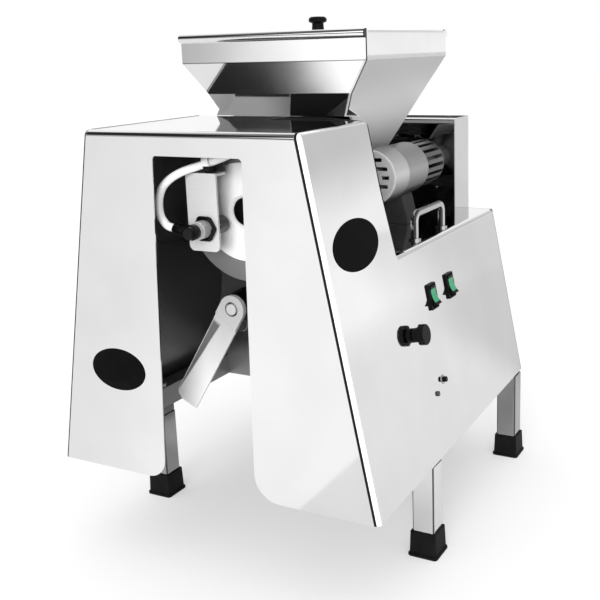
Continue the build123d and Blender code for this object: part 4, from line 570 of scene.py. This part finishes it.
def add_world():
    """Studio room: white round the object, with a dark front left corner that the steel shows."""
    world = bpy.data.worlds.new("studio")
    bpy.context.scene.world = world
    world.use_nodes = True
    tree = world.node_tree
    ground = tree.nodes["Background"]
    way = Socket(tree, tree.nodes.new("ShaderNodeTexCoord").outputs["Generated"])
    x, y, z = way.axes()
    turn = x.math("ARCTAN2", x, y)
    rise = z.math("ARCSINE", z)
    back_right = turn.span(-10, 20, 60, 90)
    behind = turn.span(-34, -31, -10, 0)
    low_band = rise.span(1, 3, 6, 9)
    back = 0.98 - 0.38 * back_right * rise.swing(0, 4.5) - 0.92 * behind * low_band
    low_front = 0.46 + 0.76 * turn.swing(-141, -152)
    opening = turn.swing(-138, -146)
    high_front = 0.02 + 1.5 * opening * opening
    front = rise.swing(18, 24).between(0.04, high_front)
    front = front + 0.4 * turn.swing(-150.5, -146) * rise.swing(14, 10)
    front = rise.swing(2.5, 5).between(low_front, front)
    in_front = turn.swing(-90, -115)
    room = in_front.between(back, front)
    room = rise.swing(45, 65).between(room, 0.9)
    left = turn.span(-135, -120, -75, -45)
    room = room * (1.0 - left * rise.swing(46, 62))
    rays = tree.nodes.new("ShaderNodeLightPath")
    camera_ray = Socket(tree, rays.outputs["Is Camera Ray"])
    glossy_ray = Socket(tree, rays.outputs["Is Glossy Ray"])
    level = camera_ray.between(glossy_ray.between(ambient, room), 1.0)
    tree.links.new(level.output, ground.inputs["Strength"])
    ground.inputs["Color"].default_value = grey(1.0)


def add_sun(name, source, strength, spread):
    """A soft lamp far away, shining from source towards the object."""
    data = bpy.data.lights.new(name, "SUN")
    data.energy = strength
    data.angle = radians(spread)
    lamp = bpy.data.objects.new(name, data)
    bpy.context.scene.collection.objects.link(lamp)
    lamp.rotation_euler = Vector(source).to_track_quat("Z", "Y").to_euler()
    lamp.visible_glossy = False


finishes = {
    "casing": shell_sheet(),
    "inner": frame_metal(),
    "hopper": hopper_sheet(),
    "column": column_sheet(),
    "mirror": polished_sheet("polished sheet", 0.86, 0.9, 0.05),
    "tube": polished_sheet("polished tube", 0.48, 0.55, 0.12),
    "rod": rod_metal(),
    # Painted light and shade: the front right leg gets a bright copy of the tube finish, the other legs a
    # shaded one
    "front_left_leg": leg_metal("leg_front_left", 0.44, 0.5),
    "front_right_leg": leg_metal("leg_front_right", 0.9, 0.96),
    "rear_left_leg": leg_metal("leg_rear_left", 0.44, 0.5),
    "rear_right_leg": leg_metal("leg_rear_right", 0.44, 0.5),
    "hem": satin_metal("folded hem", 0.36, 0.44, 0.4, (300.0, 30.0, 300.0), 0.3),
    "screw": satin_metal("screw steel", 0.09, 0.13, 0.2, (300.0, 300.0, 300.0)),
    "cradle": moulded("dark cast cradle", grey(0.03), grey(0.045), 0.45, 900.0, 0.00004, 0.1),
    "plate": bracket_metal(),
    "turned": satin_metal("turned steel", 0.22, 0.28, 0.4, (60.0, 1600.0, 60.0), 0.4),
    "ground": blade_metal(),
    "stud": satin_metal("turned stud", 0.6, 0.7, 0.3, (200.0, 200.0, 200.0), 0.3),
    "hanger": satin_metal("dull plate", 0.04, 0.06, 0.4, (60.0, 60.0, 900.0), 0.5),
    "dark": satin_metal("blackened steel", 0.03, 0.05, 0.35, (200.0, 900.0, 200.0)),
    "cast": cast_metal("cast aluminium", 0.5, 0.6, 0.35, 0.4),
    # Painted shade: copies of one turned steel, bright on the front shield, darker on the shell, darkest on
    # the rear bell deep in the casing
    "bright_drum": drum_metal("bright drum", 0.62, 0.72, 0.25),
    "drum": drum_metal("drum steel", 0.34, 0.44, 0.25),
    "bell": drum_metal("rear bell", 0.12, 0.17, 0.2),
    "white": moulded("outlet white", grey(0.82), grey(0.87), 0.35),
    "black": moulded("black plastic", grey(0.003), grey(0.005), 0.25, shine=0.08),
    "rubber": moulded("black rubber", grey(0.004), grey(0.008), 0.5, 500.0, 0.0001, 0.12),
    "green": moulded("green plastic", (0.03, 0.3, 0.14, 1.0), (0.05, 0.38, 0.19, 1.0), 0.25),
    "brass": sensor_metal(),
    "lead": moulded("white cable", grey(0.9), grey(0.94), 0.35),
    "clip": clip_plastic(),
    "plug": moulded("glossy plastic", grey(0.003), grey(0.005), 0.15, shine=0.2),
    "badge": moulded("black oval", grey(0.003), grey(0.005), 0.5, 200.0, 0.00001, 0.03),
}

worn_by = {
    "casing": ("body_shell",),
    "hopper": ("hopper",),
    "column": ("column_housing",),
    "mirror": ("column_cover", "hopper_lid"),
    "inner": ("bulkhead", "base_frame", "leg_bolts"),
    "front_left_leg": ("leg_front_left",),
    "front_right_leg": ("leg_front_right",),
    "rear_left_leg": ("leg_rear_left",),
    "rear_right_leg": ("leg_rear_right",),
    "screw": ("case_screws",),
    "cradle": ("motor_cradle",),
    "tube": ("hanger_bolts", "feed_screws", "auger", "breaker"),
    "rod": ("handle_left", "handle_right"),
    "stud": ("knife_shaft", "idler_axle"),
    "plate": ("sensor_bracket",),
    "hanger": ("knife_hanger", "auger_barrel"),
    "turned": ("nozzle_ring",),
    "ground": ("knife_blade", "knife_holder"),
    "dark": ("knife_hub", "knife_tube", "knife_gearmotor"),
    "cast": ("auger_pulley", "idler_pulleys", "motor_rotor"),
    "bright_drum": ("motor_front_shield",),
    "drum": ("motor_shell",),
    "bell": ("motor_rear_shield",),
    "white": ("outlet_disc",),
    "black": (
        "auger_switch_frame", "knife_switch_frame", "speed_knob", "reset_button", "speed_pot",
        "lid_knob", "lead_gland", "auger_rocker", "knife_rocker",
    ),
    "rubber": (
        "foot_front_left", "foot_front_right", "foot_rear_left", "foot_rear_right",
        "motor_belt", "auger_belt",
    ),
    "brass": ("proximity_sensor",),
    "lead": ("sensor_lead",),
    "clip": ("lead_clip",),
    "plug": ("sensor_plug", "sensor_nuts"),
    "badge": ("front_badge", "side_badge"),
}

# Radius of the rounded edges, and the nodes that have it
edges = {
    0.0008: ("knife_hanger", "nozzle_ring", "outlet_disc", "motor_cradle", "lid_knob", "sensor_plug"),
    0.0005: (
        "auger_switch_frame", "knife_switch_frame", "auger_rocker", "knife_rocker", "hopper_lid",
        "column_housing", "column_cover", "motor_front_shield", "motor_shell", "motor_rear_shield",
        "sensor_bracket", "base_frame", "lead_gland", "lead_clip",
        "hanger_bolts", "leg_bolts", "feed_screws",
    ),
    0.0003: (
        "knife_blade", "breaker", "reset_button", "front_badge", "side_badge",
        "case_screws", "bulkhead",
    ),
    0.002: ("sensor_nuts",),
}


def dress_nodes():
    for finish, names in worn_by.items():
        for name in names:
            for place in nodes[name].material_slots:
                place.material = finishes[finish]


def take_up(piece):
    """Selects one piece alone and makes it the active one."""
    bpy.ops.object.select_all(action="DESELECT")
    piece.select_set(True)
    bpy.context.view_layer.objects.active = piece


def copy_of(name, label):
    """A separate copy of a node's mesh, with its doubled points merged."""
    piece = bpy.data.objects.new(label, nodes[name].data.copy())
    bpy.context.scene.collection.objects.link(piece)
    piece.matrix_world = nodes[name].matrix_world
    take_up(piece)
    bpy.ops.object.transform_apply()
    bpy.ops.object.mode_set(mode="EDIT")
    bpy.ops.mesh.select_mode(type="FACE")
    bpy.ops.mesh.select_all(action="SELECT")
    bpy.ops.mesh.remove_doubles(threshold=merge_gap)
    bpy.ops.object.mode_set(mode="OBJECT")
    return piece


def belong(piece, name):
    """Lets a piece move with a node's body."""
    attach(piece, body_of(nodes[name])[0])


def round_edges(piece, width, steps):
    bevel = piece.modifiers.new("edges", "BEVEL")
    bevel.width = width
    bevel.segments = steps
    bevel.limit_method = "ANGLE"
    bevel.angle_limit = radians(30)
    bevel.use_clamp_overlap = False
    bpy.ops.object.modifier_apply(modifier=bevel.name)
    bpy.ops.object.shade_smooth_by_angle(angle=radians(35))
    level = piece.modifiers.new("level faces", "WEIGHTED_NORMAL")
    level.weight = 100
    level.keep_sharp = True
    bpy.ops.object.modifier_apply(modifier=level.name)


def ease(name, width):
    """A copy of a node with its sharp edges rounded, shown in the node's place."""
    piece = copy_of(name, name + "_eased")
    bpy.ops.object.mode_set(mode="EDIT")
    bpy.ops.mesh.select_all(action="SELECT")
    bpy.ops.mesh.dissolve_limited(angle_limit=radians(0.3))
    bpy.ops.object.mode_set(mode="OBJECT")
    round_edges(piece, width, 3 if width > 0.001 else 2)
    belong(piece, name)
    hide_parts(name)


def add_hem():
    """The thin folded hem along the left edge of the hood's top."""
    low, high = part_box("body_shell")
    bpy.ops.object.select_all(action="DESELECT")
    bpy.ops.mesh.primitive_cube_add(size=1.0)
    hem = bpy.context.object
    hem.name = "top_hem"
    front = low.y + bend_r
    hem.scale = (hem_width, hem_back - front, hem_height)
    hem.location = (hem_x, (hem_back + front) / 2, high.z)
    bpy.ops.object.transform_apply()
    round_edges(hem, fade / 2, 2)
    hem.data.materials.append(finishes["hem"])
    belong(hem, "body_shell")


def add_lens(name):
    """A green lens let into the middle of a rocker's hollow front."""
    lens = copy_of(name, name + "_lens")
    low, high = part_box(name)
    for face in lens.data.polygons:
        front = face.normal.dot(rocker_out) > 0.85 and face.area > facet_area
        face.select = not (front and lens_low < face.center.z < lens_high)
    bpy.ops.object.mode_set(mode="EDIT")
    bpy.ops.mesh.delete(type="FACE")
    bpy.ops.mesh.select_all(action="SELECT")
    middle = (0.0, (low.y + high.y) / 2, 0.0)
    bpy.ops.transform.resize(value=(1.0, lens_narrow, 1.0), center_override=middle)
    bpy.ops.object.mode_set(mode="OBJECT")
    solid = lens.modifiers.new("thickness", "SOLIDIFY")
    solid.thickness = lens_thick
    solid.offset = 0.0
    bpy.ops.object.modifier_apply(modifier=solid.name)
    round_edges(lens, fade / 2, 2)
    lens.data.materials.clear()
    lens.data.materials.append(finishes["green"])
    belong(lens, name)


add_camera()
add_floor()
add_world()
add_sun("overhead", (0.0, -0.3, 1.0), 1.5, 90.0)
add_sun("front", (0.35, -1.0, 0.16), 4.0, 35.0)
dress_nodes()
for width, names in edges.items():
    for name in names:
        ease(name, width)
for name in ("auger_rocker", "knife_rocker"):
    add_lens(name)
add_hem()
bpy.context.scene.view_settings.view_transform = "Standard"
